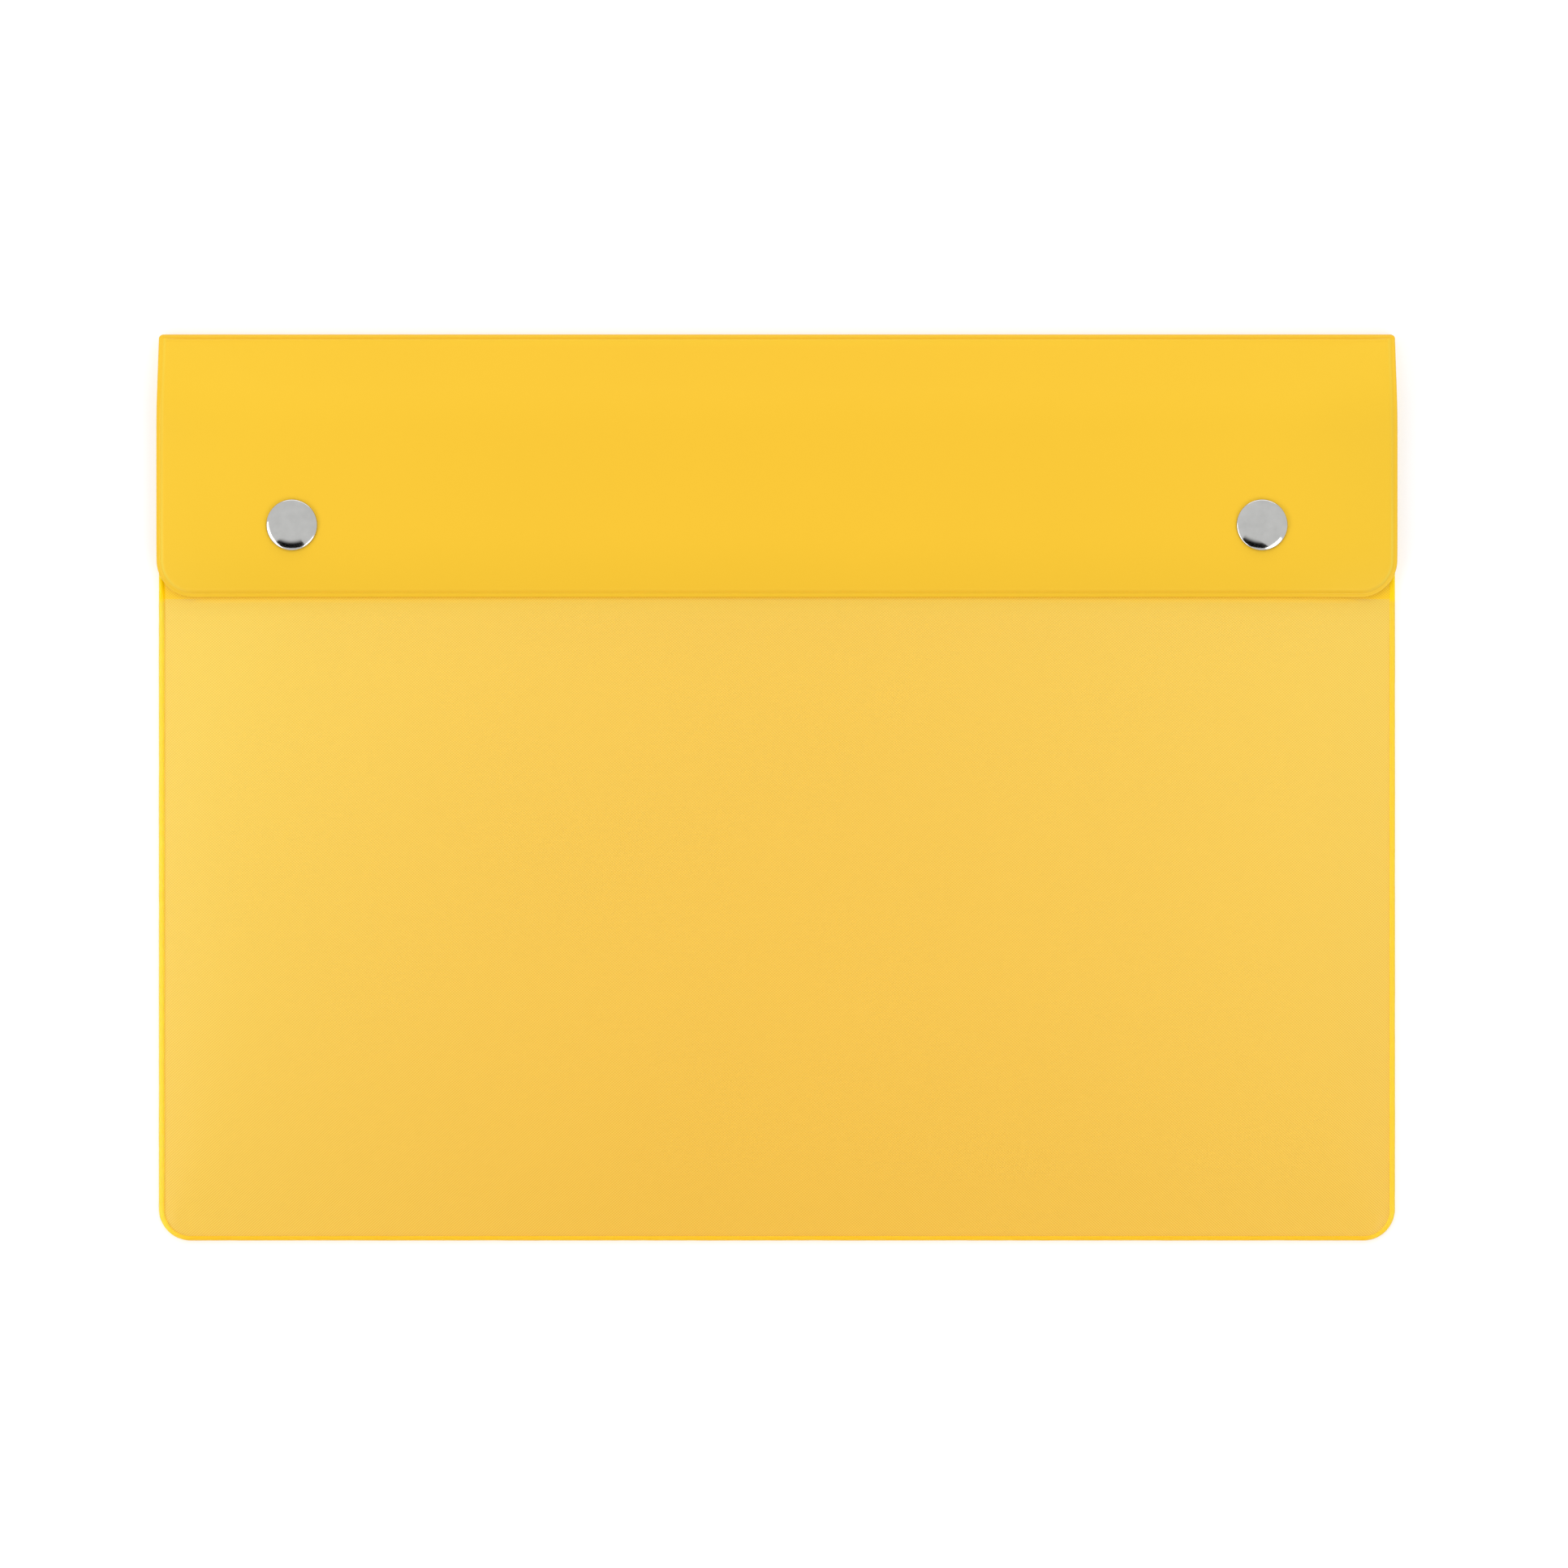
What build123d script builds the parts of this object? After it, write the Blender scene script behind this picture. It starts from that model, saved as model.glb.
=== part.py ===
from build123d import *
import math
import os

# Document wallet of welded vinyl, lying on its back, closed. Millimetres.
# X runs across the wallet, Y up to the fold, Z out of the front of the pocket.
# The origin is at the middle of the underside.

# Outline of the closed wallet
wallet_width = 320.0
wallet_height = 234.5
corner_radius = 8.2

# Thickness of each sheet
cover_ply = 0.4
lining_ply = 0.3
film_ply = 0.3
board_ply = 0.4

# Welded rims
top_band = 3.0
flap_band = 1.1
panel_corner_radius = 2.0
board_clearance = 0.5

# Bead that closes the pocket at its sides and bottom
bead_width = 1.5
bead_height = 1.9
bead_round = 0.55

# Pocket front
film_flange = 1.0
slope_run = 26.0
pocket_room = 4.7
mouth_drop = 15.8
film_clearance = 0.2

# Fold along the top edge
fold_inner_radius = 1.0
fold_tail = 0.9
fold_corner_radius = 1.3
rise_angle = 20.0

# Flap
flap_side_inset = 0.2
flap_depth = 68.2
flap_corner_radius = 9.4
flap_bend_radius = 33.0
flap_tip_run = 10.0
flap_tip_radius = 60.0

# Places of the two snaps
snap_side_inset = 34.9
snap_drop = 49.6
snap_gap = 0.1

# Snap cap and its post
cap_diameter = 13.3
cap_height = 1.6
cap_edge_height = 0.5
cap_flat_diameter = 10.0
cap_wall = 0.5
post_diameter = 4.0
post_bore_diameter = 2.8
post_clearance = 0.1
clinch_diameter = 5.6
clinch_height = 0.3

# Snap socket
socket_diameter = 10.5
socket_height = 2.5
socket_bore_diameter = 6.8
socket_web = 0.4
socket_lip = 0.25
socket_round = 0.5
groove_depth = 0.5

# Spring wires in the socket
wire_diameter = 0.5
wire_clearance = 0.05
grip_clearance = 0.15

# Snap stud
stud_flange_diameter = 9.0
stud_flange_height = 0.4
stud_neck_diameter = 4.4
stud_neck_height = 1.0
stud_head_diameter = 5.6
stud_head_gap = 0.15
stud_taper = 0.15
stud_round = 0.3
stud_wall = 0.2

# Eyelet that rivets the stud to the film
eyelet_flange_diameter = 8.4
eyelet_flange_height = 0.4
eyelet_tube_diameter = 3.0
eyelet_bore_diameter = 2.2
eyelet_clearance = 0.1
eyelet_roll_diameter = 3.8
eyelet_roll_height = 0.3

# How far a cutting solid runs past what it cuts
overrun = 1.0

# Levels in the back, from the table up
rim_top = cover_ply + lining_ply
board_top = cover_ply + board_ply
lining_top = board_top + lining_ply
flange_top = rim_top + film_ply
plateau_under = lining_top + pocket_room
plateau_top = plateau_under + film_ply

# The board in the back ends where the film above it has room to rise clear of the lining
slope_rise = plateau_top - flange_top
slope_radius = (slope_run**2 + slope_rise**2) / (4 * slope_rise)
clear_rise = lining_top - rim_top + film_clearance
side_band = film_flange + math.sqrt(2 * slope_radius * clear_rise - clear_rise**2)

# Places across the wallet
flap_width = wallet_width - 2 * flap_side_inset
snap_x = flap_width / 2 - snap_side_inset

# Places along the height of the wallet
crown_y = wallet_height / 2
base_y = -wallet_height / 2
fold_mid_radius = fold_inner_radius + lining_ply
fold_outer_radius = fold_mid_radius + cover_ply
fold_y = crown_y - fold_outer_radius
fold_z = fold_outer_radius
back_seam_y = fold_y - fold_tail
mouth_y = crown_y - mouth_drop
flap_edge_y = crown_y - flap_depth
snap_y = crown_y - snap_drop

# The flap leaves the fold at the rise angle, bends level above the snaps and droops at its edge
rise = math.radians(rise_angle)
stud_flange_top = plateau_top + stud_flange_height
flap_under = stud_flange_top + snap_gap + socket_height
flap_depth_in_plies = lining_ply + board_ply + cover_ply
flap_top = flap_under + flap_depth_in_plies
root_y = fold_y + fold_inner_radius * math.sin(rise)
root_z = fold_z + fold_inner_radius * math.cos(rise)
bend_rise = flap_bend_radius * (1 - math.cos(rise))
straight_run = (flap_under - root_z - bend_rise) / math.sin(rise)
bend_y = root_y - straight_run * math.cos(rise) - flap_bend_radius * math.sin(rise)
bend_z = flap_under - flap_bend_radius
tip_y = flap_edge_y + flap_tip_run
tip_z = flap_under - flap_tip_radius
tip_turn = math.asin((flap_tip_run + overrun) / flap_tip_radius)


def slab(face, low, high):
    """A flat sheet of the given outline between two levels."""
    return extrude(Pos(0, 0, low) * face, amount=high - low)


def back_outline(inset, top_y, top_radius=0):
    """Outline of the back, drawn in from the sides and the bottom by the inset."""
    width = wallet_width - 2 * inset
    height = top_y - base_y - inset
    face = Pos(0, top_y - height / 2) * Rectangle(width, height)
    corners = face.vertices().group_by(Axis.Y)
    face = fillet(corners[0], max(corner_radius - inset, panel_corner_radius))
    if top_radius:
        face = fillet(face.vertices().group_by(Axis.Y)[-1], top_radius)
    return face


def flap_outline(inset, top_y):
    """Outline of the flap seen from the front, drawn in from its free edges by the inset."""
    width = flap_width - 2 * inset
    height = top_y - flap_edge_y - inset
    face = Pos(0, top_y - height / 2) * Rectangle(width, height)
    corners = face.vertices().group_by(Axis.Y)
    face = fillet(corners[0], flap_corner_radius - inset)
    return fillet(face.vertices().group_by(Axis.Y)[-1], panel_corner_radius)


def snap_places(level):
    """Places of the left and the right snap at one level."""
    return {"left": Pos(-snap_x, snap_y, level), "right": Pos(snap_x, snap_y, level)}


def drill(solid, diameter):
    """Cuts a round hole for each snap right through a sheet."""
    depth = flap_top + 2 * overrun
    for place in snap_places(depth / 2 - overrun).values():
        solid -= place * Cylinder(diameter / 2, depth)
    return solid


def turned(points):
    """A body of revolution about Z from corner points given as radius and height."""
    return revolve(Plane.XZ * make_face(Polyline(*points, close=True)), Axis.Z)


def fold_profile(inner_radius, outer_radius):
    """Section of one sheet round the fold, from its tail on the back to the flap's root."""
    half_turn = (math.pi - rise) / 2

    def on_circle(radius, turn):
        return (fold_y + radius * math.sin(turn), fold_z - radius * math.cos(turn))

    low = fold_z - outer_radius
    high = fold_z - inner_radius
    outer_end = on_circle(outer_radius, 2 * half_turn)
    inner_end = on_circle(inner_radius, 2 * half_turn)
    edges = [
        Line((back_seam_y, low), (fold_y, low)),
        ThreePointArc((fold_y, low), on_circle(outer_radius, half_turn), outer_end),
        Line(outer_end, inner_end),
        ThreePointArc(inner_end, on_circle(inner_radius, half_turn), (fold_y, high)),
        Line((fold_y, high), (back_seam_y, high)),
        Line((back_seam_y, high), (back_seam_y, low)),
    ]
    return make_face(Curve() + edges)


def flap_profile(low, high):
    """Section of one layer of the flap, between two depths above its inner face."""

    def root(depth):
        return (root_y + depth * math.sin(rise), root_z + depth * math.cos(rise))

    def on_bend(depth, turn):
        radius = flap_bend_radius + depth
        return (bend_y + radius * math.sin(turn), bend_z + radius * math.cos(turn))

    def on_tip(depth, turn):
        radius = flap_tip_radius + depth
        return (tip_y - radius * math.sin(turn), tip_z + radius * math.cos(turn))

    edges = [
        Line(root(low), on_bend(low, rise)),
        ThreePointArc(on_bend(low, rise), on_bend(low, rise / 2), on_bend(low, 0)),
        Line(on_bend(low, 0), on_tip(low, 0)),
        ThreePointArc(on_tip(low, 0), on_tip(low, tip_turn / 2), on_tip(low, tip_turn)),
        Line(on_tip(low, tip_turn), on_tip(high, tip_turn)),
        ThreePointArc(on_tip(high, tip_turn), on_tip(high, tip_turn / 2), on_tip(high, 0)),
        Line(on_tip(high, 0), on_bend(high, 0)),
        ThreePointArc(on_bend(high, 0), on_bend(high, rise / 2), on_bend(high, rise)),
        Line(on_bend(high, rise), root(high)),
        Line(root(high), root(low)),
    ]
    return make_face(Curve() + edges)


def flap_layer(low, high, inset, top_y):
    """One layer of the flap, cut to the flap's outline."""
    layer = extrude(Plane.YZ * flap_profile(low, high), amount=flap_width, both=True)
    return layer & slab(flap_outline(inset, top_y), 0, flap_top + overrun)


def slope(start, end):
    """An S of two equal arcs from one level to another, level at both ends."""
    middle = ((start[0] + end[0]) / 2, (start[1] + end[1]) / 2)
    sense = math.copysign(1, end[0] - start[0])
    first = TangentArc(start, middle, tangent=(sense, 0))
    second = TangentArc(end, middle, tangent=(-sense, 0))
    return [first, second]


def film_section(half_width, bottom, rim, crown):
    """Section across the pocket front: level flanges, slopes and a level crown."""
    foot = half_width - film_flange
    shoulder = foot - slope_run
    edges = [
        Line((-half_width, bottom), (half_width, bottom)),
        Line((half_width, bottom), (half_width, rim)),
        Line((half_width, rim), (foot, rim)),
        *slope((foot, rim), (shoulder, crown)),
        Line((shoulder, crown), (-shoulder, crown)),
        *slope((-shoulder, crown), (-foot, rim)),
        Line((-foot, rim), (-half_width, rim)),
        Line((-half_width, rim), (-half_width, bottom)),
    ]
    return make_face(Curve() + edges)


def film_length_section(start, bottom, rim, crown):
    """Section along the pocket front, from the bottom bead to past the mouth."""
    foot = start + film_flange
    shoulder = foot + slope_run
    end = mouth_y + overrun
    edges = [
        Line((start, bottom), (end, bottom)),
        Line((end, bottom), (end, crown)),
        Line((end, crown), (shoulder, crown)),
        *slope((shoulder, crown), (foot, rim)),
        Line((foot, rim), (start, rim)),
        Line((start, rim), (start, bottom)),
    ]
    return make_face(Curve() + edges)


def film_crown(bottom, rim, crown):
    """Solid under the pocket front's shape, with its sides and its bottom sloped."""
    half_width = wallet_width / 2 - bead_width
    across = film_section(half_width, bottom, rim, crown)
    along = film_length_section(base_y + bead_width, bottom, rim, crown)
    lengthwise = extrude(Plane.XZ * across, amount=wallet_height, both=True)
    crosswise = extrude(Plane.YZ * along, amount=wallet_width, both=True)
    return lengthwise & crosswise


def make_back_panel():
    """Outer sheet of the back."""
    return slab(back_outline(bead_width, back_seam_y), 0, cover_ply)


def make_back_stiffener():
    """Board sealed between the two sheets of the back."""
    inset = bead_width + side_band + lining_ply + board_clearance
    top_y = back_seam_y - top_band - lining_ply - board_clearance
    return slab(back_outline(inset, top_y, panel_corner_radius), cover_ply, board_top)


def make_back_lining():
    """Inner sheet of the back, pressed down round the board to a welded band."""
    inset = bead_width + side_band
    panel_top_y = back_seam_y - top_band
    rim = slab(back_outline(bead_width, back_seam_y), cover_ply, rim_top)
    raised = slab(back_outline(inset, panel_top_y, panel_corner_radius), cover_ply, lining_top)
    hollow_inset = inset + lining_ply
    hollow_top_y = panel_top_y - lining_ply
    hollow_face = back_outline(hollow_inset, hollow_top_y, panel_corner_radius)
    return rim + raised - slab(hollow_face, cover_ply - overrun, board_top)


def make_weld_bead():
    """Fused bead along both sides and the bottom, rounded on top."""
    outer = slab(back_outline(0, back_seam_y), 0, bead_height)
    inner_face = back_outline(bead_width, back_seam_y + overrun)
    bead = outer - slab(inner_face, -overrun, bead_height + overrun)
    top_edges = bead.edges().group_by(Axis.Z)[-1]
    long_edges = top_edges.filter_by(lambda edge: edge.length > 2 * bead_width)
    return fillet(long_edges, bead_round)


def make_pocket_front():
    """Embossed film that stands clear of the back, welded at its flanges, open at the top."""
    outer = film_crown(rim_top, flange_top, plateau_top)
    inner = film_crown(rim_top - overrun, rim_top, plateau_under)
    outline = slab(back_outline(bead_width, mouth_y), 0, plateau_top + overrun)
    film = (outer - inner) & outline
    return drill(film, eyelet_tube_diameter + 2 * eyelet_clearance)


def make_fold(inner_radius, outer_radius):
    """One sheet of the fold, with the ends of its crown rounded."""
    strip = extrude(Plane.YZ * fold_profile(inner_radius, outer_radius), amount=flap_width, both=True)
    height = crown_y - back_seam_y + overrun
    face = Pos(0, crown_y - height / 2) * Rectangle(flap_width, height)
    face = fillet(face.vertices().group_by(Axis.Y)[-1], fold_corner_radius)
    return strip & slab(face, -overrun, 2 * fold_outer_radius + overrun)


def make_flap_cover():
    """Outer sheet of the flap, pressed down round the board to a welded rim."""
    top_y = crown_y + panel_corner_radius
    panel_top_y = root_y - flap_band
    rim = flap_layer(lining_ply, lining_ply + cover_ply, 0, top_y)
    raised = flap_layer(lining_ply, flap_depth_in_plies, flap_band, panel_top_y)
    hollow_inset = flap_band + cover_ply
    hollow_top = lining_ply + board_ply
    hollow = flap_layer(lining_ply - overrun, hollow_top, hollow_inset, panel_top_y - cover_ply)
    return drill(rim + raised - hollow, post_diameter + 2 * post_clearance)


def make_flap_stiffener():
    """Board sealed between the two sheets of the flap."""
    inset = flap_band + cover_ply + board_clearance
    board = flap_layer(lining_ply, lining_ply + board_ply, inset, root_y - inset)
    return drill(board, post_diameter + 2 * post_clearance)


def make_flap_lining():
    """Inner sheet of the flap."""
    lining = flap_layer(0, lining_ply, 0, crown_y + panel_corner_radius)
    return drill(lining, post_diameter + 2 * post_clearance)


def make_cap():
    """Hollow snap cap with a tubular post, standing on the flap at height zero."""
    cap_radius = cap_diameter / 2
    flat_radius = cap_flat_diameter / 2
    inner_top = cap_height - cap_wall
    post_radius = post_diameter / 2
    bore_radius = post_bore_diameter / 2
    clinch_radius = clinch_diameter / 2
    seat = -flap_depth_in_plies - socket_web
    clinch_bottom = seat - clinch_height
    dome = TangentArc((flat_radius, cap_height), (cap_radius, cap_edge_height), tangent=(1, 0))
    rest = Polyline(
        (cap_radius, cap_edge_height),
        (cap_radius, 0),
        (cap_radius - cap_wall, 0),
        (cap_radius - cap_wall, cap_edge_height),
        (flat_radius, inner_top),
        (post_radius, inner_top),
        (post_radius, seat),
        (clinch_radius, seat),
        (clinch_radius, clinch_bottom),
        (bore_radius, clinch_bottom),
        (bore_radius, inner_top),
        (0, inner_top),
        (0, cap_height),
        (flat_radius, cap_height),
    )
    return revolve(Plane.XZ * make_face(Curve() + [dome, rest]), Axis.Z)


def make_socket():
    """Snap socket hanging below height zero, with a groove for the spring wires."""
    outer = socket_diameter / 2
    bore = socket_bore_diameter / 2
    groove = bore + groove_depth
    hole = post_diameter / 2 + post_clearance
    groove_low = socket_lip - socket_height
    groove_high = groove_low + wire_diameter + 2 * wire_clearance
    points = [
        (hole, 0),
        (outer, 0),
        (outer, socket_round - socket_height),
        (outer - socket_round, -socket_height),
        (bore, -socket_height),
        (bore, groove_low),
        (groove, groove_low),
        (groove, groove_high),
        (bore, groove_high),
        (bore, -socket_web),
        (hole, -socket_web),
    ]
    return turned(points)


def make_spring():
    """Two parallel wires that cross the socket's bore and grip the stud's neck."""
    radius = wire_diameter / 2
    offset = stud_neck_diameter / 2 + grip_clearance + radius
    groove = (socket_bore_diameter / 2 + groove_depth) - wire_clearance
    length = 2 * math.sqrt(groove**2 - (offset + radius) ** 2)
    level = socket_lip - socket_height + wire_clearance + radius
    wire = Rot(0, 90, 0) * Cylinder(radius, length)
    return [Pos(0, side * offset, level) * wire for side in (-1, 1)]


def make_stud():
    """Hollow snap stud standing on the film at height zero."""
    flange = stud_flange_diameter / 2
    neck = stud_neck_diameter / 2
    head = stud_head_diameter / 2
    bore = eyelet_tube_diameter / 2 + eyelet_clearance
    room = eyelet_roll_diameter / 2 + eyelet_clearance
    neck_top = stud_flange_height + stud_neck_height
    under_web = snap_gap + socket_height - socket_web - clinch_height
    head_top = stud_flange_height + under_web - stud_head_gap
    points = [
        (bore, 0),
        (flange, 0),
        (flange, stud_flange_height),
        (neck, stud_flange_height),
        (neck, neck_top),
        (head, neck_top + stud_taper),
        (head, head_top - stud_round),
        (head - stud_round, head_top),
        (0, head_top),
        (0, head_top - stud_wall),
        (room, head_top - stud_wall),
        (room, neck_top),
        (bore, neck_top),
    ]
    return turned(points)


def make_eyelet():
    """Rivet with its flange below height zero and its tube rolled over inside the stud."""
    flange = eyelet_flange_diameter / 2
    tube = eyelet_tube_diameter / 2
    bore = eyelet_bore_diameter / 2
    roll = eyelet_roll_diameter / 2
    roll_low = film_ply + stud_flange_height + stud_neck_height
    roll_high = roll_low + eyelet_roll_height
    points = [
        (bore, -eyelet_flange_height),
        (flange, -eyelet_flange_height),
        (flange, 0),
        (tube, 0),
        (tube, roll_low),
        (roll, roll_low),
        (roll, roll_high),
        (bore, roll_high),
    ]
    return turned(points)


nodes = {
    "back_panel": make_back_panel(),
    "back_stiffener": make_back_stiffener(),
    "back_lining": make_back_lining(),
    "weld_bead": make_weld_bead(),
    "pocket_front": make_pocket_front(),
    "fold_cover": make_fold(fold_mid_radius, fold_outer_radius),
    "fold_lining": make_fold(fold_inner_radius, fold_mid_radius),
    "flap_cover": make_flap_cover(),
    "flap_stiffener": make_flap_stiffener(),
    "flap_lining": make_flap_lining(),
}

for side, place in snap_places(flap_top).items():
    nodes[side + "_cap"] = place * make_cap()
for side, place in snap_places(flap_under).items():
    nodes[side + "_socket"] = place * make_socket()
    nodes[side + "_spring"] = Compound([place * wire for wire in make_spring()])
for side, place in snap_places(plateau_top).items():
    nodes[side + "_stud"] = place * make_stud()
for side, place in snap_places(plateau_under).items():
    nodes[side + "_eyelet"] = place * make_eyelet()

os.makedirs("parts", exist_ok=True)
for name, shape in nodes.items():
    export_step(shape, os.path.join("parts", name + ".step"))
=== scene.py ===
import logging
import math
from dataclasses import dataclass, field
from enum import Enum
from typing import Callable, Optional, Sequence, Union

import bmesh
import bpy
import numpy as np
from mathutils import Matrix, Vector


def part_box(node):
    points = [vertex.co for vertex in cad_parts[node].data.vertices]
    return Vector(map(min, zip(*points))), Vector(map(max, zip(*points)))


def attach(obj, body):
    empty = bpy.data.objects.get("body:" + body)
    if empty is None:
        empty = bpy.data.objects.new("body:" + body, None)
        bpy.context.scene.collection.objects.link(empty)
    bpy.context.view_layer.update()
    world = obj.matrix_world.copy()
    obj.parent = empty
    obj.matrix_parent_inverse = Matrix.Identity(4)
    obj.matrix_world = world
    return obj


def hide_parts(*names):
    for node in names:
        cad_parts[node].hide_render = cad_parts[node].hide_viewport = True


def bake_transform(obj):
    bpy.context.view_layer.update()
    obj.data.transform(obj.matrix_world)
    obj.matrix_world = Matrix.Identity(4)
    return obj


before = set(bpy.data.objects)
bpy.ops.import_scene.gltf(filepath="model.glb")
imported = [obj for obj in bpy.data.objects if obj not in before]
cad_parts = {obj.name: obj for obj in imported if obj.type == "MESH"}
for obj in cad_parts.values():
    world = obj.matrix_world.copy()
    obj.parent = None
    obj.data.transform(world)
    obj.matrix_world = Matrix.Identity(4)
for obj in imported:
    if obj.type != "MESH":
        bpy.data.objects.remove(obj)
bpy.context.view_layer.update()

MM = 0.001
SHARP_ANGLE = math.radians(38.0)
VALUE = "NodeSocketFloat"
COLOUR = "NodeSocketColor"

Array = np.ndarray
Colour = tuple[float, float, float]
Corners = list[tuple[float, float, float]]
Profile = list[tuple[float, float]]
Socket = bpy.types.NodeSocket
Value = Union[float, Colour, Socket]

BLACK: Colour = (0.0, 0.0, 0.0)
WHITE: Colour = (1.0, 1.0, 1.0)

log = logging.getLogger("document_wallet")


class Body(Enum):
    """The two bodies that pieces ride on."""

    POCKET = "pocket"
    FLAP = "flap"


class Slot(Enum):
    """The record's material slots."""

    VINYL = "yellow_vinyl"
    LINING = "yellow_lining"
    FILM = "clear_film"
    BEAD = "fused_bead"
    BOARD = "grey_board"
    NICKEL = "nickel"
    SPRING = "spring_steel"


class Side(Enum):
    """The two snaps, seen from the front."""

    LEFT = "left"
    RIGHT = "right"


class Mask(Enum):
    """Values stored on the points of a mesh, which the finishes read."""

    WELD = "weld"
    # Painted highlight line along the flap's rim.
    RIDGE = "ridge"
    # Painted sheen where the flap leaves the film and the bead bare, missing under the flap.
    HAZE = "haze"
    # Painted light: lighter where more lamp light falls.
    SIDE = "side"
    # Painted glow on the film under the flap's corners and along its edge.
    GLOW = "glow"


Finishes = dict[Slot, bpy.types.Material]
Masks = dict[Mask, Array]


# Shader nodes


class Graph:
    """A shader node tree with short ways to add nodes and join them."""

    def __init__(self, tree: bpy.types.NodeTree) -> None:
        """Wraps a node tree."""
        self.tree = tree

    def node(self, kind: str, **settings: object) -> bpy.types.Node:
        """Adds a node.

        Args:
            kind: The node's type name.
            settings: Properties to set on it.

        Returns:
            The new node.
        """
        made = self.tree.nodes.new(kind)
        for key, value in settings.items():
            setattr(made, key, value)
        return made

    def put(self, socket: Socket, value: Value) -> None:
        """Feeds an input.

        Args:
            socket: The input.
            value: A socket to link from, a number or a colour.
        """
        if isinstance(value, bpy.types.NodeSocket):
            self.tree.links.new(value, socket)
        elif isinstance(value, tuple) and socket.type == "RGBA":
            socket.default_value = (*value, 1.0)
        else:
            socket.default_value = value

    def feed(self, node: bpy.types.Node, **values: Value) -> bpy.types.Node:
        """Feeds several inputs of a node.

        Args:
            node: The node.
            values: What each input gets, by the input's name with _ for a space.

        Returns:
            The node.
        """
        for key, value in values.items():
            self.put(node.inputs[key.replace("_", " ")], value)
        return node

    def math(self, operation: str, *values: Value) -> Socket:
        """Adds a Math node.

        Args:
            operation: The operation's name.
            values: Its inputs in order.

        Returns:
            The result.
        """
        made = self.node("ShaderNodeMath", operation=operation)
        for socket, value in zip(made.inputs, values):
            self.put(socket, value)
        return made.outputs["Value"]

    def span(self, value: Value, low: float, high: float) -> Socket:
        """Spreads a value of 0 to 1 between two ends."""
        return self.math("MULTIPLY_ADD", value, high - low, low)

    def mix(self, factor: Value, first: Value, second: Value, blend: str = "MIX") -> Socket:
        """Mixes two colours.

        Args:
            factor: Share of the second colour.
            first: The first colour.
            second: The second colour.
            blend: How they mix.

        Returns:
            The mixed colour.
        """
        made = self.node("ShaderNodeMix", data_type="RGBA", blend_type=blend)
        colours = [socket for socket in made.inputs if socket.type == "RGBA"]
        self.put(made.inputs["Factor"], factor)
        self.put(colours[0], first)
        self.put(colours[1], second)
        return next(socket for socket in made.outputs if socket.type == "RGBA")

    def place(self) -> Socket:
        """Place on the piece itself, in metres."""
        return self.node("ShaderNodeTexCoord").outputs["Object"]

    def mask(self, mask: Mask) -> Socket:
        """Value stored on the points of the mesh."""
        return self.node("ShaderNodeAttribute", attribute_name=mask.value).outputs["Fac"]

    def noise(self, place: Socket, size: Value, detail: float = 2.0) -> Socket:
        """Adds soft noise.

        Args:
            place: Where it is looked up.
            size: Width of its patches in millimetres.
            detail: How many finer layers it has.

        Returns:
            A value of 0 to 1.
        """
        made = self.node("ShaderNodeTexNoise")
        if isinstance(size, bpy.types.NodeSocket):
            scale: Value = self.math("DIVIDE", 1 / MM, size)
        else:
            scale = 1 / (size * MM)
        self.feed(made, Vector=place, Scale=scale, Detail=detail)
        return made.outputs[0]

    def group(self, tree: bpy.types.NodeTree, **values: Value) -> bpy.types.Node:
        """Places a node group and feeds its inputs, named as in feed."""
        return self.feed(self.node("ShaderNodeGroup", node_tree=tree), **values)

    def bump(self, height: Socket, depth: float, below: Optional[Socket] = None) -> Socket:
        """Adds relief to the surface.

        Args:
            height: Height of 0 to 1.
            depth: Depth of the relief in millimetres.
            below: Relief that this one lies on.

        Returns:
            The normal.
        """
        made = self.feed(self.node("ShaderNodeBump"), Distance=depth * MM, Height=height)
        if below is not None:
            self.feed(made, Normal=below)
        return made.outputs["Normal"]


def new_group(
    name: str, inputs: dict[str, str], outputs: dict[str, str]
) -> tuple[Graph, dict[str, Socket], bpy.types.Node]:
    """Starts a shader node group.

    Args:
        name: The group's name.
        inputs: Socket types by name.
        outputs: Socket types by name.

    Returns:
        The group's graph, what it is given by name, and its output node.
    """
    tree = bpy.data.node_groups.new(name, "ShaderNodeTree")
    for label, kind in inputs.items():
        tree.interface.new_socket(label, in_out="INPUT", socket_type=kind)
    for label, kind in outputs.items():
        tree.interface.new_socket(label, in_out="OUTPUT", socket_type=kind)
    graph = Graph(tree)
    given = dict(graph.node("NodeGroupInput").outputs.items())
    return graph, given, graph.node("NodeGroupOutput")


def pressed_grain(pebbles: float = 0.7) -> bpy.types.NodeTree:
    """Fine pebbled grain that rollers leave on vinyl, as a height.

    Args:
        pebbles: Height of the pebbles beside that of the soft noise.

    Returns:
        The group.
    """
    graph, given, result = new_group("pressed_grain", {"Size": VALUE}, {"Height": VALUE})
    place = graph.place()
    cells = graph.node("ShaderNodeTexVoronoi", feature="SMOOTH_F1")
    graph.feed(cells, Vector=place, Scale=graph.math("DIVIDE", 1 / MM, given["Size"]))
    soft = graph.noise(place, given["Size"])
    graph.feed(result, Height=graph.math("MULTIPLY_ADD", cells.outputs[0], pebbles, soft))
    return graph.tree


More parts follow.
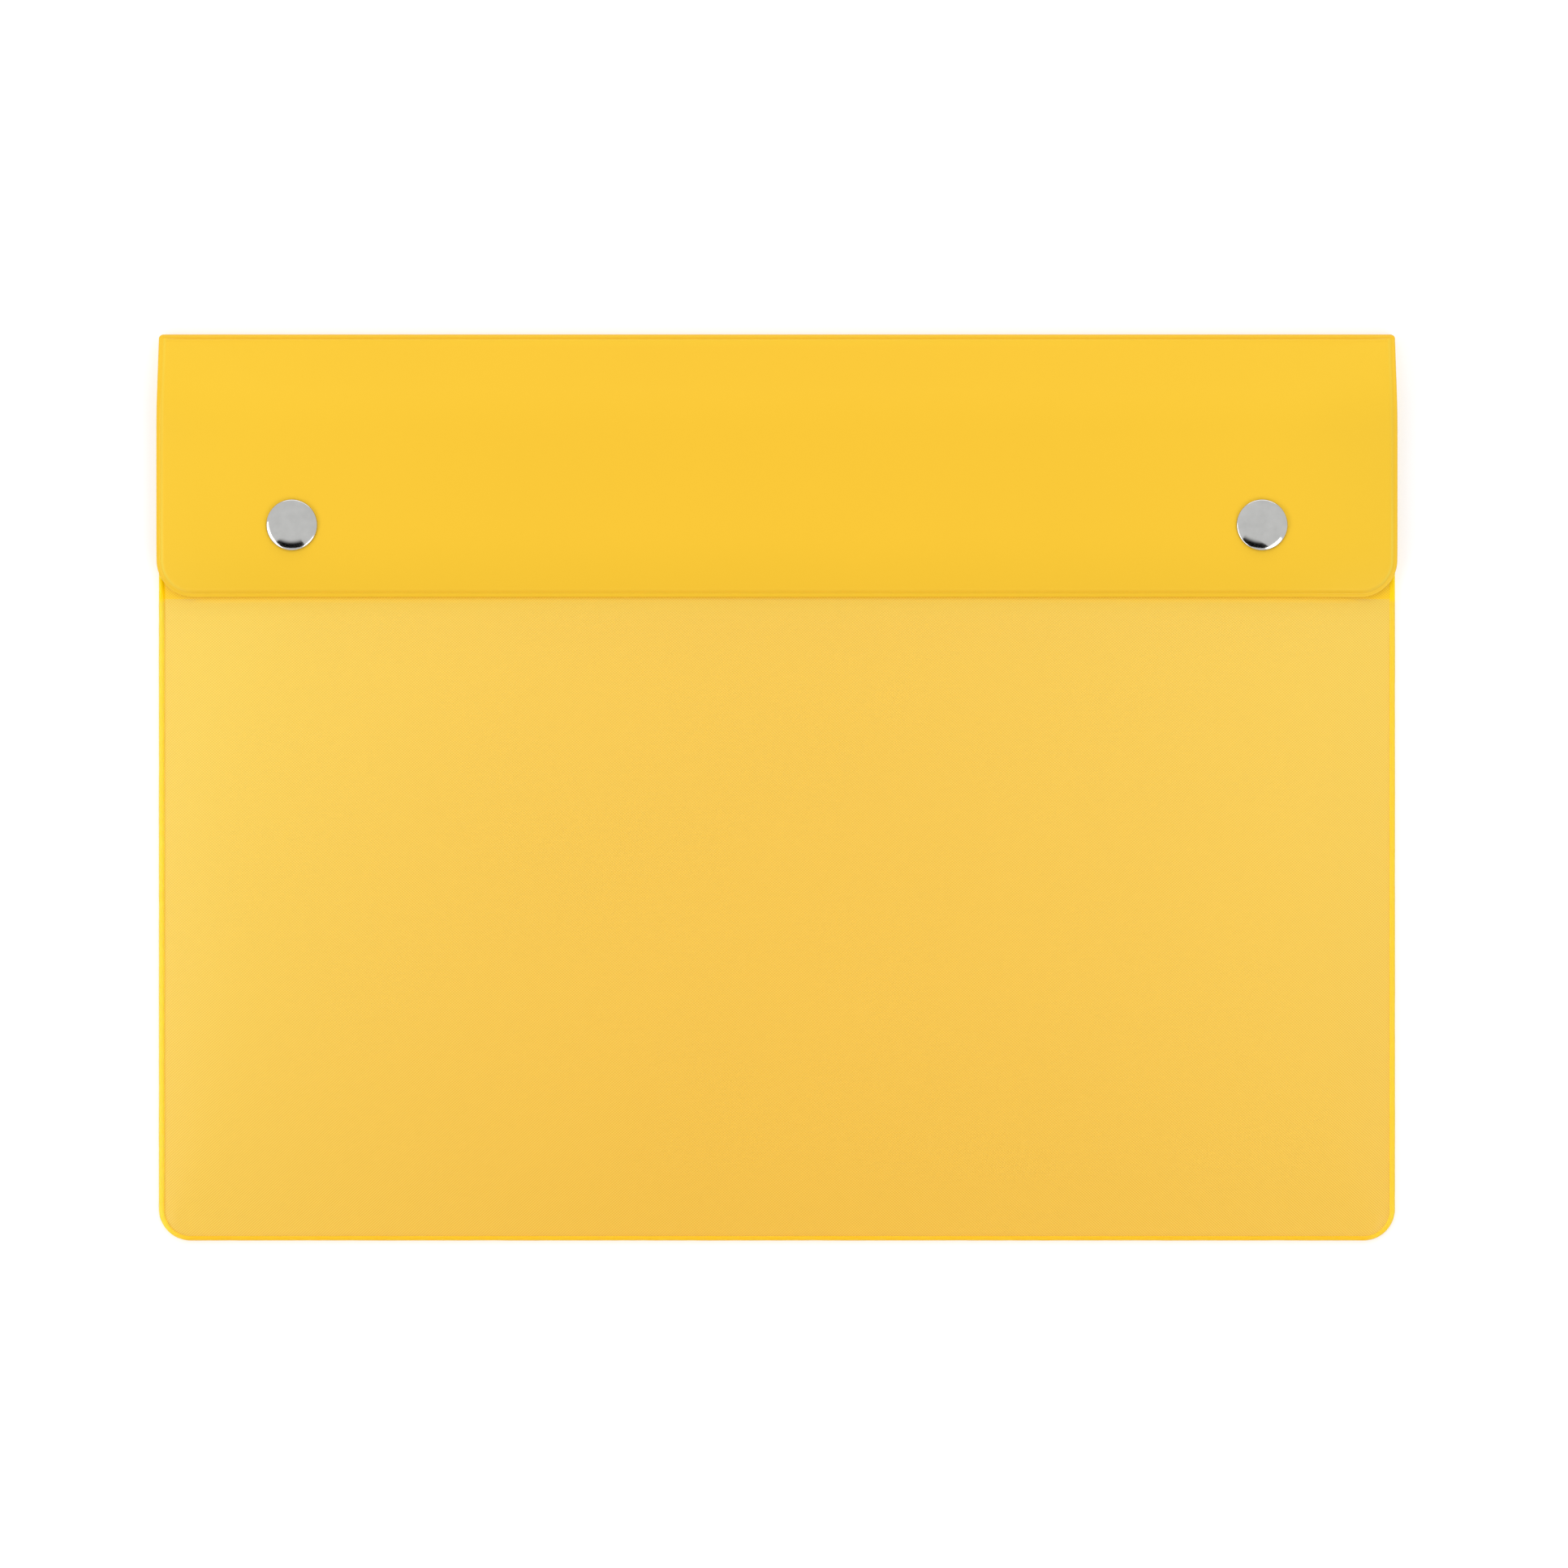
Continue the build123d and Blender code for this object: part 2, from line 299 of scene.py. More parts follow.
def tone_drift() -> bpy.types.NodeTree:
    """Slow change of tone over a piece.

    Returns:
        The group.
    """
    graph, given, result = new_group(
        "tone_drift", {"Colour": COLOUR, "Amount": VALUE, "Size": VALUE}, {"Colour": COLOUR}
    )
    wander = graph.noise(graph.place(), given["Size"])
    level = graph.math("MULTIPLY_ADD", graph.math("SUBTRACT", wander, 0.5), given["Amount"], 1.0)
    grey = graph.node("ShaderNodeCombineColor")
    for channel in grey.inputs:
        graph.put(channel, level)
    graph.feed(result, Colour=graph.mix(1.0, given["Colour"], grey.outputs[0], "MULTIPLY"))
    return graph.tree


def crossed_emboss(
    wander: float = 0.4,
    lean: float = 2.4,
    lean_x: float = 0.03,
    lean_y: float = -0.04,
    lean_run: float = 0.06,
) -> bpy.types.NodeTree:
    """Two crossed sets of diagonal lines rolled into a film, as a height of 0 to 1.

    Args:
        wander: How far the balance of the two sets wanders.
        lean: How far one set leads towards each lower corner, for each metre across.
        lean_x: Where across the two sets are even, in metres.
        lean_y: Where along the lead starts, in metres.
        lean_run: Distance over which the lead grows, in metres.

    Returns:
        The group.
    """
    graph, given, result = new_group(
        "crossed_emboss", {"Across": VALUE, "Along": VALUE, "Balance Size": VALUE}, {"Height": VALUE}
    )
    place = graph.place()
    axes = graph.node("ShaderNodeSeparateXYZ")
    graph.feed(axes, Vector=place)
    turns = []
    for axis, pitch in zip(axes.outputs, ("Across", "Along")):
        turn = graph.math("MULTIPLY", axis, 2 * math.pi / MM)
        turns.append(graph.math("DIVIDE", turn, given[pitch]))
    rising = graph.math("SINE", graph.math("SUBTRACT", *turns))
    falling = graph.math("SINE", graph.math("ADD", *turns))
    balance = graph.noise(place, given["Balance Size"], detail=1.0)
    even = graph.span(balance, 0.5 - wander / 2, 0.5 + wander / 2)
    below = graph.math("MULTIPLY_ADD", axes.outputs["Y"], -1 / lean_run, lean_y / lean_run)
    below = graph.math("MINIMUM", graph.math("MAXIMUM", below, 0.0), 1.0)
    aside = graph.math("MULTIPLY_ADD", axes.outputs["X"], -lean, lean * lean_x)
    share = graph.math("MULTIPLY_ADD", aside, below, even)
    lines = graph.math("MULTIPLY_ADD", graph.math("SUBTRACT", rising, falling), share, falling)
    graph.feed(result, Height=graph.math("MULTIPLY_ADD", lines, 0.5, 0.5))
    return graph.tree


def handling_marks(
    turn: float = 0.6,
    stretch: float = 14.0,
    hair_width: float = 0.06,
    hair_blur: float = 0.02,
    hair_share: float = 0.4,
) -> bpy.types.NodeTree:
    """Smudges and hair scratches that change the gloss.

    Args:
        turn: Direction of the scratches, in radians.
        stretch: How many times longer than wide they are.
        hair_width: Share of the noise that makes a scratch.
        hair_blur: How soft the edge of a scratch is.
        hair_share: Strength of the scratches beside that of the smudges.

    Returns:
        The group.
    """
    graph, given, result = new_group(
        "handling_marks", {"Roughness": VALUE, "Amount": VALUE, "Size": VALUE}, {"Roughness": VALUE}
    )
    place = graph.place()
    smudge = graph.math("SUBTRACT", graph.noise(place, given["Size"], detail=3.0), 0.5)
    stretched = graph.node("ShaderNodeMapping")
    graph.feed(stretched, Vector=place, Rotation=(0.0, 0.0, turn), Scale=(1.0, stretch, 1.0))
    hairs = graph.noise(stretched.outputs[0], given["Size"], detail=4.0)
    middle = graph.math("ABSOLUTE", graph.math("SUBTRACT", hairs, 0.5))
    fine = graph.math("SMOOTH_MIN", middle, hair_width, hair_blur)
    scratch = graph.math("SUBTRACT", 1.0, graph.math("DIVIDE", fine, hair_width))
    marks = graph.math("MULTIPLY_ADD", scratch, hair_share, smudge)
    graph.feed(result, Roughness=graph.math("MULTIPLY_ADD", marks, given["Amount"], given["Roughness"]))
    return graph.tree


def weld_press_and_highlight() -> bpy.types.NodeTree:
    """Deeper tone and higher gloss where the welding bar pressed the sheet, and a painted highlight line
    along the rim's inner slope.

    Returns:
        The group.
    """
    graph, given, result = new_group(
        "weld_press_and_highlight",
        {"Colour": COLOUR, "Pressed": COLOUR, "Stretched": COLOUR, "Roughness": VALUE, "Smoothing": VALUE},
        {"Colour": COLOUR, "Roughness": VALUE},
    )
    weld = graph.mask(Mask.WELD)
    pressed = graph.mix(weld, given["Colour"], given["Pressed"])
    smoother = graph.math("MULTIPLY", weld, given["Smoothing"])
    graph.feed(
        result,
        # Painted highlight line over the pressed weld tone.
        Colour=graph.mix(graph.mask(Mask.RIDGE), pressed, given["Stretched"]),
        Roughness=graph.math("SUBTRACT", given["Roughness"], smoother),
    )
    return graph.tree


@dataclass
class Effects:
    """Shader groups that several finishes share, each built once, and the pitch of the emboss."""

    grain: bpy.types.NodeTree = field(default_factory=pressed_grain)
    drift: bpy.types.NodeTree = field(default_factory=tone_drift)
    emboss: bpy.types.NodeTree = field(default_factory=crossed_emboss)
    marks: bpy.types.NodeTree = field(default_factory=handling_marks)
    weld: bpy.types.NodeTree = field(default_factory=weld_press_and_highlight)
    emboss_across: float = 0.757
    emboss_along: float = 0.680
    balance_size: float = 70.0

    def drifting(self, graph: Graph, colour: Value, amount: float, size: float) -> Socket:
        """Colour whose tone changes slowly over the piece."""
        return graph.group(self.drift, Colour=colour, Amount=amount, Size=size).outputs["Colour"]

    def marked(self, graph: Graph, roughness: float, amount: float, size: float) -> Socket:
        """Roughness with handling marks."""
        return graph.group(self.marks, Roughness=roughness, Amount=amount, Size=size).outputs["Roughness"]

    def embossed(self, graph: Graph) -> Socket:
        """Height of the emboss, which runs on from the film over the bead.

        Args:
            graph: The material's graph.

        Returns:
            The height.
        """
        made = graph.group(
            self.emboss,
            Across=self.emboss_across,
            Along=self.emboss_along,
            Balance_Size=self.balance_size,
        )
        return made.outputs["Height"]


def new_material(name: str) -> tuple[bpy.types.Material, Graph, bpy.types.Node]:
    """Starts a material.

    Args:
        name: The material's name.

    Returns:
        The material, its graph and its Principled node.
    """
    material = bpy.data.materials.new(name)
    material.use_nodes = True
    graph = Graph(material.node_tree)
    surface = next(node for node in material.node_tree.nodes if node.type == "BSDF_PRINCIPLED")
    return material, graph, surface


@dataclass(frozen=True)
class VinylFinish:
    """Opaque coloured vinyl, satin, with a very fine rolled grain; painted light makes it lighter towards
    the flap's sides, and a painted highlight line runs along the flap's rim.
    """

    roughness: float
    grain_size: float
    grain_depth: float
    colour: Colour = (0.962, 0.575, 0.034)
    # Lighter tone where painted light falls, towards the flap's sides.
    lit_colour: Colour = (0.962, 0.600, 0.037)
    pressed: Colour = (0.962, 0.590, 0.034)
    # Painted highlight colour of the line along the flap's rim.
    stretched: Colour = (1.0, 0.72, 0.075)
    sheen: Colour = (1.0, 0.85, 0.40)
    specular: float = 0.35
    tone_swing: float = 0.03
    tone_size: float = 55.0
    mark_size: float = 38.0
    mark_amount: float = 0.05
    weld_smoothing: float = 0.22

    def dress(self, graph: Graph, surface: bpy.types.Node, effects: Effects) -> None:
        """Builds the material's nodes.

        Args:
            graph: The material's graph.
            surface: Its Principled node.
            effects: The shared groups.
        """
        # Painted light towards the sides and a painted highlight line along the rim, over the pressed weld
        # tone.
        weld = graph.group(
            effects.weld,
            Colour=graph.mix(graph.mask(Mask.SIDE), self.colour, self.lit_colour),
            Pressed=self.pressed,
            Stretched=self.stretched,
            Roughness=effects.marked(graph, self.roughness, self.mark_amount, self.mark_size),
            Smoothing=self.weld_smoothing,
        )
        grain = graph.group(effects.grain, Size=self.grain_size)
        graph.feed(
            surface,
            Base_Color=effects.drifting(graph, weld.outputs["Colour"], self.tone_swing, self.tone_size),
            Roughness=weld.outputs["Roughness"],
            Normal=graph.bump(grain.outputs["Height"], self.grain_depth),
            Specular_IOR_Level=self.specular,
            Specular_Tint=self.sheen,
        )


@dataclass(frozen=True)
class FilmFinish:
    """Clear film with a crossed-diagonal emboss; a painted sheen where the flap leaves it bare, painted
    shade and glow under the flap's corners and along its edge, and painted shade in the emboss's dips.
    """

    colour: Colour = (0.955, 0.642, 0.093)
    # Lighter tone where painted light falls, towards the top and the sides.
    lit_colour: Colour = (1.0, 0.810, 0.166)
    # Tone under the flap, without the painted sheen.
    covered_colour: Colour = (0.99, 0.755, 0.100)
    # Painted shade under the flap's corners.
    corner_shade_colour: Colour = (0.97, 0.655, 0.0)
    # Painted shade in the emboss's dips, deeper still under the flap's corners.
    dip_shade_tint: Colour = (0.94, 0.68, 0.38)
    corner_dip_shade_tint: Colour = (0.80, 0.58, 0.10)
    # Painted glow under the flap's corners and along its edge.
    corner_glow: Colour = (0.18, 0.12, 0.0)
    corner_power: float = 4.0
    covered_alpha: float = 0.92
    haze_alpha: float = 0.60
    roughness: float = 0.38
    specular: float = 0.5
    emboss_depth: float = 0.030
    tone_swing: float = 0.03
    tone_size: float = 90.0
    mark_size: float = 60.0
    mark_amount: float = 0.06

    def dress(self, graph: Graph, surface: bpy.types.Node, effects: Effects) -> None:
        """Builds the material's nodes.

        Args:
            graph: The material's graph.
            surface: Its Principled node.
            effects: The shared groups.
        """
        emboss = effects.embossed(graph)
        # Painted sheen where the flap leaves the film bare, and painted glow under its corners and edge.
        haze = graph.mask(Mask.HAZE)
        glow = graph.mask(Mask.GLOW)
        clear = graph.mix(glow, self.covered_colour, self.corner_shade_colour)
        # Painted light: lighter towards the top and the sides.
        bare_tone = graph.mix(graph.mask(Mask.SIDE), self.colour, self.lit_colour)
        # Painted shade in the emboss's dips.
        dip_shade = graph.mix(graph.math("POWER", glow, self.corner_power), self.dip_shade_tint, self.corner_dip_shade_tint)
        dip = graph.math("SUBTRACT", 1.0, emboss)
        tint = graph.mix(dip, graph.mix(haze, clear, bare_tone), dip_shade, "MULTIPLY")
        graph.feed(
            surface,
            Base_Color=effects.drifting(graph, tint, self.tone_swing, self.tone_size),
            Roughness=effects.marked(graph, self.roughness, self.mark_amount, self.mark_size),
            Normal=graph.bump(emboss, self.emboss_depth),
            Alpha=graph.span(haze, self.covered_alpha, self.haze_alpha),
            # Painted glow.
            Emission_Color=graph.mix(glow, BLACK, self.corner_glow),
            Emission_Strength=1.0,
            Specular_IOR_Level=self.specular,
        )


@dataclass(frozen=True)
class BeadFinish:
    """Glossy vinyl that melted and flowed into a bead, with painted light on its sides, painted shade along
    the bottom, and painted shade and glow where it runs under the flap's corners.
    """

    # Painted shade under the flap's corners.
    covered_colour: Colour = (1.0, 0.66, 0.002)
    # Tone where painted light falls on the sides, and painted shade along the bottom.
    haze_colour: Colour = (1.0, 0.72, 0.067)
    shaded_colour: Colour = (0.92, 0.550, 0.022)
    streak_colour: Colour = (1.0, 0.80, 0.08)
    # Painted glow, stronger under the flap's corners.
    covered_glow: Colour = (0.20, 0.12, 0.0)
    haze_glow: Colour = (0.07, 0.03, 0.0)
    sheen: Colour = (1.0, 0.80, 0.20)
    roughness: float = 0.30
    mark_amount: float = 0.08
    coat: float = 0.10
    coat_roughness: float = 0.08
    scatter: float = 0.7
    scatter_colour: Colour = (1.0, 0.7, 0.15)
    scatter_depth: float = 1.4
    streak_size: float = 2.6
    streak_power: float = 3.0
    ripple_size: float = 1.1
    ripple_depth: float = 0.05
    imprint_depth: float = 0.012

    def dress(self, graph: Graph, surface: bpy.types.Node, effects: Effects) -> None:
        """Builds the material's nodes.

        Args:
            graph: The material's graph.
            surface: Its Principled node.
            effects: The shared groups.
        """
        place = graph.place()
        # Painted shade and glow under the flap's corners, painted light on the sides and painted shade along
        # the bottom.
        haze = graph.mask(Mask.HAZE)
        streaks = graph.math("POWER", graph.noise(place, self.streak_size, detail=3.0), self.streak_power)
        lit = graph.mix(streaks, self.haze_colour, self.streak_colour)
        bare_tone = graph.mix(graph.mask(Mask.SIDE), self.shaded_colour, lit)
        imprint = graph.bump(effects.embossed(graph), self.imprint_depth)
        ripples = graph.noise(place, self.ripple_size)
        graph.feed(
            surface,
            Base_Color=graph.mix(haze, self.covered_colour, bare_tone),
            Roughness=effects.marked(graph, self.roughness, self.mark_amount, self.streak_size),
            Normal=graph.bump(ripples, self.ripple_depth, imprint),
            Coat_Weight=self.coat,
            Coat_Roughness=self.coat_roughness,
            Specular_Tint=self.sheen,
            Emission_Color=graph.mix(haze, self.covered_glow, self.haze_glow),
            Emission_Strength=1.0,
            Subsurface_Weight=self.scatter,
            Subsurface_Radius=self.scatter_colour,
            Subsurface_Scale=self.scatter_depth * MM,
        )


@dataclass(frozen=True)
class MetalFinish:
    """Plated or drawn metal."""

    colour: Colour
    roughness: float
    mark_size: float
    mark_amount: float
    ripple_size: float
    ripple_depth: float
    tone_swing: float = 0.25

    def dress(self, graph: Graph, surface: bpy.types.Node, effects: Effects) -> None:
        """Builds the material's nodes.

        Args:
            graph: The material's graph.
            surface: Its Principled node.
            effects: The shared groups.
        """
        ripples = graph.noise(graph.place(), self.ripple_size)
        graph.feed(
            surface,
            Base_Color=effects.drifting(graph, self.colour, self.tone_swing, self.mark_size),
            Roughness=effects.marked(graph, self.roughness, self.mark_amount, self.mark_size),
            Normal=graph.bump(ripples, self.ripple_depth),
            Metallic=1.0,
        )


@dataclass(frozen=True)
class BoardFinish:
    """Plain grey board with fibres and flecks."""

    colour: Colour = (0.55, 0.52, 0.46)
    fleck_colour: Colour = (0.30, 0.27, 0.22)
    fleck_power: float = 3.0
    roughness: float = 0.9
    fibre_size: float = 1.2
    fibre_depth: float = 0.03
    tone_swing: float = 0.08
    tone_size: float = 20.0

    def dress(self, graph: Graph, surface: bpy.types.Node, effects: Effects) -> None:
        """Builds the material's nodes.

        Args:
            graph: The material's graph.
            surface: Its Principled node.
            effects: The shared groups.
        """
        fibres = graph.noise(graph.place(), self.fibre_size, detail=6.0)
        flecks = graph.math("POWER", fibres, self.fleck_power)
        tint = graph.mix(flecks, self.colour, self.fleck_colour)
        graph.feed(
            surface,
            Base_Color=effects.drifting(graph, tint, self.tone_swing, self.tone_size),
            Roughness=self.roughness,
            Normal=graph.bump(fibres, self.fibre_depth),
        )


Finish = Union[VinylFinish, FilmFinish, BeadFinish, MetalFinish, BoardFinish]

FINISHES: dict[Slot, Finish] = {
    Slot.VINYL: VinylFinish(roughness=0.46, grain_size=0.45, grain_depth=0.004),
    Slot.LINING: VinylFinish(roughness=0.50, grain_size=0.70, grain_depth=0.012),
    Slot.FILM: FilmFinish(),
    Slot.BEAD: BeadFinish(),
    Slot.BOARD: BoardFinish(),
    Slot.NICKEL: MetalFinish(
        colour=(0.50, 0.50, 0.49),
        roughness=0.10,
        mark_size=3.0,
        mark_amount=0.05,
        ripple_size=2.0,
        ripple_depth=0.002,
    ),
    Slot.SPRING: MetalFinish(
        colour=(0.45, 0.45, 0.46),
        roughness=0.28,
        mark_size=0.6,
        mark_amount=0.12,
        ripple_size=0.3,
        ripple_depth=0.004,
    ),
}


def make_finishes() -> Finishes:
    """Builds the material of every slot, once.

    Returns:
        The materials by slot.
    """
    effects = Effects()
    made = {}
    for slot, finish in FINISHES.items():
        material, graph, surface = new_material(slot.value)
        finish.dress(graph, surface, effects)
        made[slot] = material
    return made


# Meshes


def make_object(name: str, points: Array, faces: Sequence[Sequence[int]]) -> bpy.types.Object:
    """Makes a smooth-shaded mesh object.

    Args:
        name: The piece's name.
        points: Its points in millimetres.
        faces: Point numbers of each face.

    Returns:
        The object, linked into the scene.
    """
    mesh = bpy.data.meshes.new(name)
    mesh.from_pydata((points * MM).tolist(), [], [list(map(int, face)) for face in faces])
    work = bmesh.new()
    work.from_mesh(mesh)
    bmesh.ops.recalc_face_normals(work, faces=work.faces)
    work.to_mesh(mesh)
    work.free()
    mesh.shade_smooth()
    mesh.set_sharp_from_angle(angle=SHARP_ANGLE)
    made = bpy.data.objects.new(name, mesh)
    bpy.context.scene.collection.objects.link(made)
    return made


def mask_points(made: bpy.types.Object, masks: Masks) -> None:
    """Stores values on the points of a mesh.

    Args:
        made: The object.
        masks: Values by mask: one a point, or one a point of the first layer, repeated on the others.
    """
    for mask, values in masks.items():
        layers = len(made.data.vertices) // len(values)
        attribute = made.data.attributes.new(mask.value, "FLOAT", "POINT")
        attribute.data.foreach_set("value", np.tile(values, layers).astype(np.float32))


def smooth(value: Array) -> Array:
    """An even S from 0 to 1, level at both ends."""
    share = np.clip(value, 0.0, 1.0)
    return share * share * (3.0 - 2.0 * share)


def stacked(*axes: Union[Array, float]) -> Array:
    """Points from their places on each axis."""
    return np.column_stack(np.broadcast_arrays(*(np.ravel(axis) for axis in axes)))


def run_length(along: Array, height: Array) -> float:
    """Length of a line of points, in millimetres."""
    return float(np.hypot(np.diff(along), np.diff(height)).sum())


def places(start: float, stop: float, step: float, close: Sequence[float] = ()) -> Array:
    """Places from start down to stop.

    Args:
        start: The highest place.
        stop: The lowest place.
        step: The widest step between two places.
        close: Extra distances below start, where the shape changes quickly.

    Returns:
        The places, from start to stop.
    """
    first = [start - distance for distance in close]
    begin = first[-1] if first else start
    count = max(1, math.ceil((begin - stop) / step))
    return np.array([*first[:-1], *np.linspace(begin, stop, count + 1)])


def quads(lines: Sequence[Array]) -> Array:
    """Faces between lines of point numbers that follow each other, four numbers a face."""
    pairs = zip(lines[:-1], lines[1:])
    return np.concatenate([np.stack([a[:-1], a[1:], b[1:], b[:-1]], axis=-1) for a, b in pairs])


@dataclass
class Lattice:
    """Quads over a flat sheet's outline."""

    x: Array
    y: Array
    faces: Array
    border: list[int]

    def raised(self, height: Union[Array, float]) -> Array:
        """Points of the lattice at a height."""
        return stacked(self.x, self.y, height)


def strip_lattice(x: Array, y: Array) -> Lattice:
    """Lattice of a plain grid.

    Args:
        x: Places across, one row for each line of points.
        y: Places along, of the same shape.

    Returns:
        The lattice.
    """
    index = np.arange(x.size).reshape(x.shape)
    border = [*index[:, 0], *index[-1, 1:], *index[-2::-1, -1], *index[0, -2:0:-1]]
    return Lattice(x.ravel(), y.ravel(), quads(index.T), [int(point) for point in border])


@dataclass(frozen=True)
class SheetCut:
    """Outline of a sheet: straight sides and top, and two rounded lower corners."""

    half_width: float
    low_y: float
    top_y: float
    corner_radius: float

    @property
    def corner_y(self) -> float:
        """Place along at which the lower corners begin."""
        return self.low_y + self.corner_radius

    def inset(self, x: Array, y: Array) -> Array:
        """Distance in from the sides and the bottom.

        Args:
            x: Places across.
            y: Places along.

        Returns:
            The distances.
        """
        side = self.half_width - np.abs(x)
        bottom = y - self.low_y
        radius = self.corner_radius
        corner = radius - np.hypot(radius - side, radius - bottom)
        return np.where((side < radius) & (bottom < radius), corner, np.minimum(side, bottom))

    def slope(self, x: Array, y: Array, reach: float) -> Array:
        """Which way the nearest edge faces: 1 at the left side, 0 at the bottom, -1 at the right side."""
        return np.clip((self.inset(x + reach / 2, y) - self.inset(x - reach / 2, y)) / reach, -1.0, 1.0)

    def edge(self, rows: Array, columns: int, arc_steps: int) -> tuple[Array, Array]:
        """Points down the left side, along the bottom and up the right side.

        Args:
            rows: Places down a side, from the top to where the corner begins.
            columns: Steps along the bottom.
            arc_steps: Steps round a corner.

        Returns:
            The points, and the inward direction at each.
        """
        straight = self.half_width - self.corner_radius
        turns = np.linspace(0.0, math.pi / 2, arc_steps + 1)[1:]
        spoke = stacked(np.cos(turns), -np.sin(turns))
        hub = np.array([straight, self.corner_y])
        right = np.concatenate([stacked(self.half_width, rows), hub + self.corner_radius * spoke])
        right_in = np.concatenate([np.tile([-1.0, 0.0], (len(rows), 1)), -spoke])
        bottom = stacked(np.linspace(-straight, straight, columns + 1)[1:-1], self.low_y)
        bottom_in = np.tile([0.0, 1.0], (len(bottom), 1))
        mirror = np.array([-1.0, 1.0])
        points = np.concatenate([right * mirror, bottom, right[::-1]])
        inwards = np.concatenate([right_in * mirror, bottom_in, right_in[::-1]])
        return points, inwards

    def lattice(self, rows: Array, columns: int, arc_steps: int, insets: Sequence[float]) -> Lattice:
        """Rings that follow the outline, round a plain grid.

        Args:
            rows: Places down a side, from the top to where the corner begins.
            columns: Steps across.
            arc_steps: Steps round a corner.
            insets: Distance in of each ring, from the outline to the grid's edge.

        Returns:
            The lattice.
        """
        points, inwards = self.edge(rows, columns, arc_steps)
        loops = [points + inset * inwards for inset in insets]
        row_count = len(rows) + arc_steps
        ends = loops[-1][-row_count:][::-1]
        grid_x = np.outer(ends[:, 0], np.linspace(-1.0, 1.0, columns + 1))
        grid_y = np.repeat(ends[:, 1:], columns + 1, axis=1)
        plan = np.concatenate([stacked(grid_x, grid_y), *loops[:-1]])
        index = np.arange(grid_x.size).reshape(grid_x.shape)
        grid_edge = np.concatenate([index[:, 0], index[-1, 1:-1], index[::-1, -1]])
        starts = [index.size + ring * len(points) for ring in range(len(insets) - 1)]
        rings = [start + np.arange(len(points)) for start in starts] + [grid_edge]
        border = [*rings[0], *(ring[-1] for ring in rings[1:]), *index[0, -2:0:-1]]
        border += [ring[0] for ring in reversed(rings[1:])]
        faces = np.concatenate([quads(index.T), quads(rings)])
        return Lattice(plan[:, 0], plan[:, 1], faces, [int(point) for point in border])


def sheet_solid(name: str, lattice: Lattice, over: Array, under: Array, masks: Masks) -> bpy.types.Object:
    """Closes a sheet between its two faces.

    Args:
        name: The piece's name.
        lattice: The lattice that both faces share.
        over: Points of the upper face.
        under: Points of the lower face.
        masks: Values for its points.

    Returns:
        The object.
    """
    count = len(lattice.x)
    border = lattice.border
    walls = [(a, count + a, count + b, b) for a, b in zip(border, border[1:] + border[:1])]
    faces = [*lattice.faces, *(count + lattice.faces[:, ::-1]), *walls]
    made = make_object(name, np.concatenate([over, under]), faces)
    mask_points(made, masks)
    return made


def eased(corners: Corners, steps: int = 6) -> Profile:
    """Rounds the corners of a turned profile.

    Args:
        corners: Radius, height and ease of each corner, in order round the section.
        steps: Steps round each eased corner.

    Returns:
        Radius and height of each point.
    """
    spots = [np.array(corner[:2]) for corner in corners]
    profile = []
    for number, (radius, height, ease) in enumerate(corners):
        if not ease:
            profile.append((radius, height))
            continue
        here = spots[number]
        before = spots[number - 1] - here
        after = spots[(number + 1) % len(spots)] - here
        start = here + before / np.linalg.norm(before) * ease
        end = here + after / np.linalg.norm(after) * ease
        for share in np.linspace(0.0, 1.0, steps + 1):
            point = (1 - share) ** 2 * start + 2 * share * (1 - share) * here + share**2 * end
            profile.append((float(point[0]), float(point[1])))
    return profile


def lathe(name: str, profile: Profile, centre: Vector, steps: int = 120) -> bpy.types.Object:
    """Turns a section about an upright line.

    Args:
        name: The piece's name.
        profile: Radius and height of each point, in order round the section.
        centre: A point of the line; heights count from it.
        steps: Steps round.

    Returns:
        The object.
    """
    turns = np.linspace(0.0, 2 * math.pi, steps, endpoint=False)
    points = []
    rings = []
    for radius, height in profile:
        around = turns if radius > 0 else turns[:1]
        rings.append(len(points) + np.arange(len(around)))
        points += [
            (centre.x + radius * math.cos(turn), centre.y + radius * math.sin(turn), centre.z + height)
            for turn in around
        ]
    faces = []
    for first, second in zip(rings, rings[1:] + rings[:1]):
        if len(first) == 1 and len(second) == 1:
            continue
        for step in range(steps):
            after = (step + 1) % steps
            corners = [first[step % len(first)], first[after % len(first)]]
            corners += [second[after % len(second)], second[step % len(second)]]
            faces.append(list(dict.fromkeys(int(corner) for corner in corners)))
    return make_object(name, np.array(points), faces)


def dress(made: bpy.types.Object, material: bpy.types.Material) -> None:
    """Gives a piece one finish."""
    made.data.materials.clear()
    made.data.materials.append(material)


def dress_node(node: str, material: bpy.types.Material) -> None:
    """Gives a solid of the frame one finish."""
    dress(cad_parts[node], material)
    log.info("%s: dressed", node)


def fit(made: bpy.types.Object, finishes: Finishes, slot: Slot, body: Optional[Body], *nodes: str) -> None:
    """Dresses a piece and seats it in the frame.

    Args:
        made: The piece.
        finishes: The materials by slot.
        slot: The slot of its finish.
        body: The body it rides on, or none.
        nodes: The solids that it stands for.
    """
    dress(made, finishes[slot])
    if body is not None:
        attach(made, body.value)
    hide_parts(*nodes)
    log.info("%s: %d points, stands for %s", made.name, len(made.data.vertices), ", ".join(nodes))


def node_box(node: str) -> tuple[Vector, Vector]:
    """Lowest and highest corner of a solid, in millimetres."""
    low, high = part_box(node)
    return low / MM, high / MM


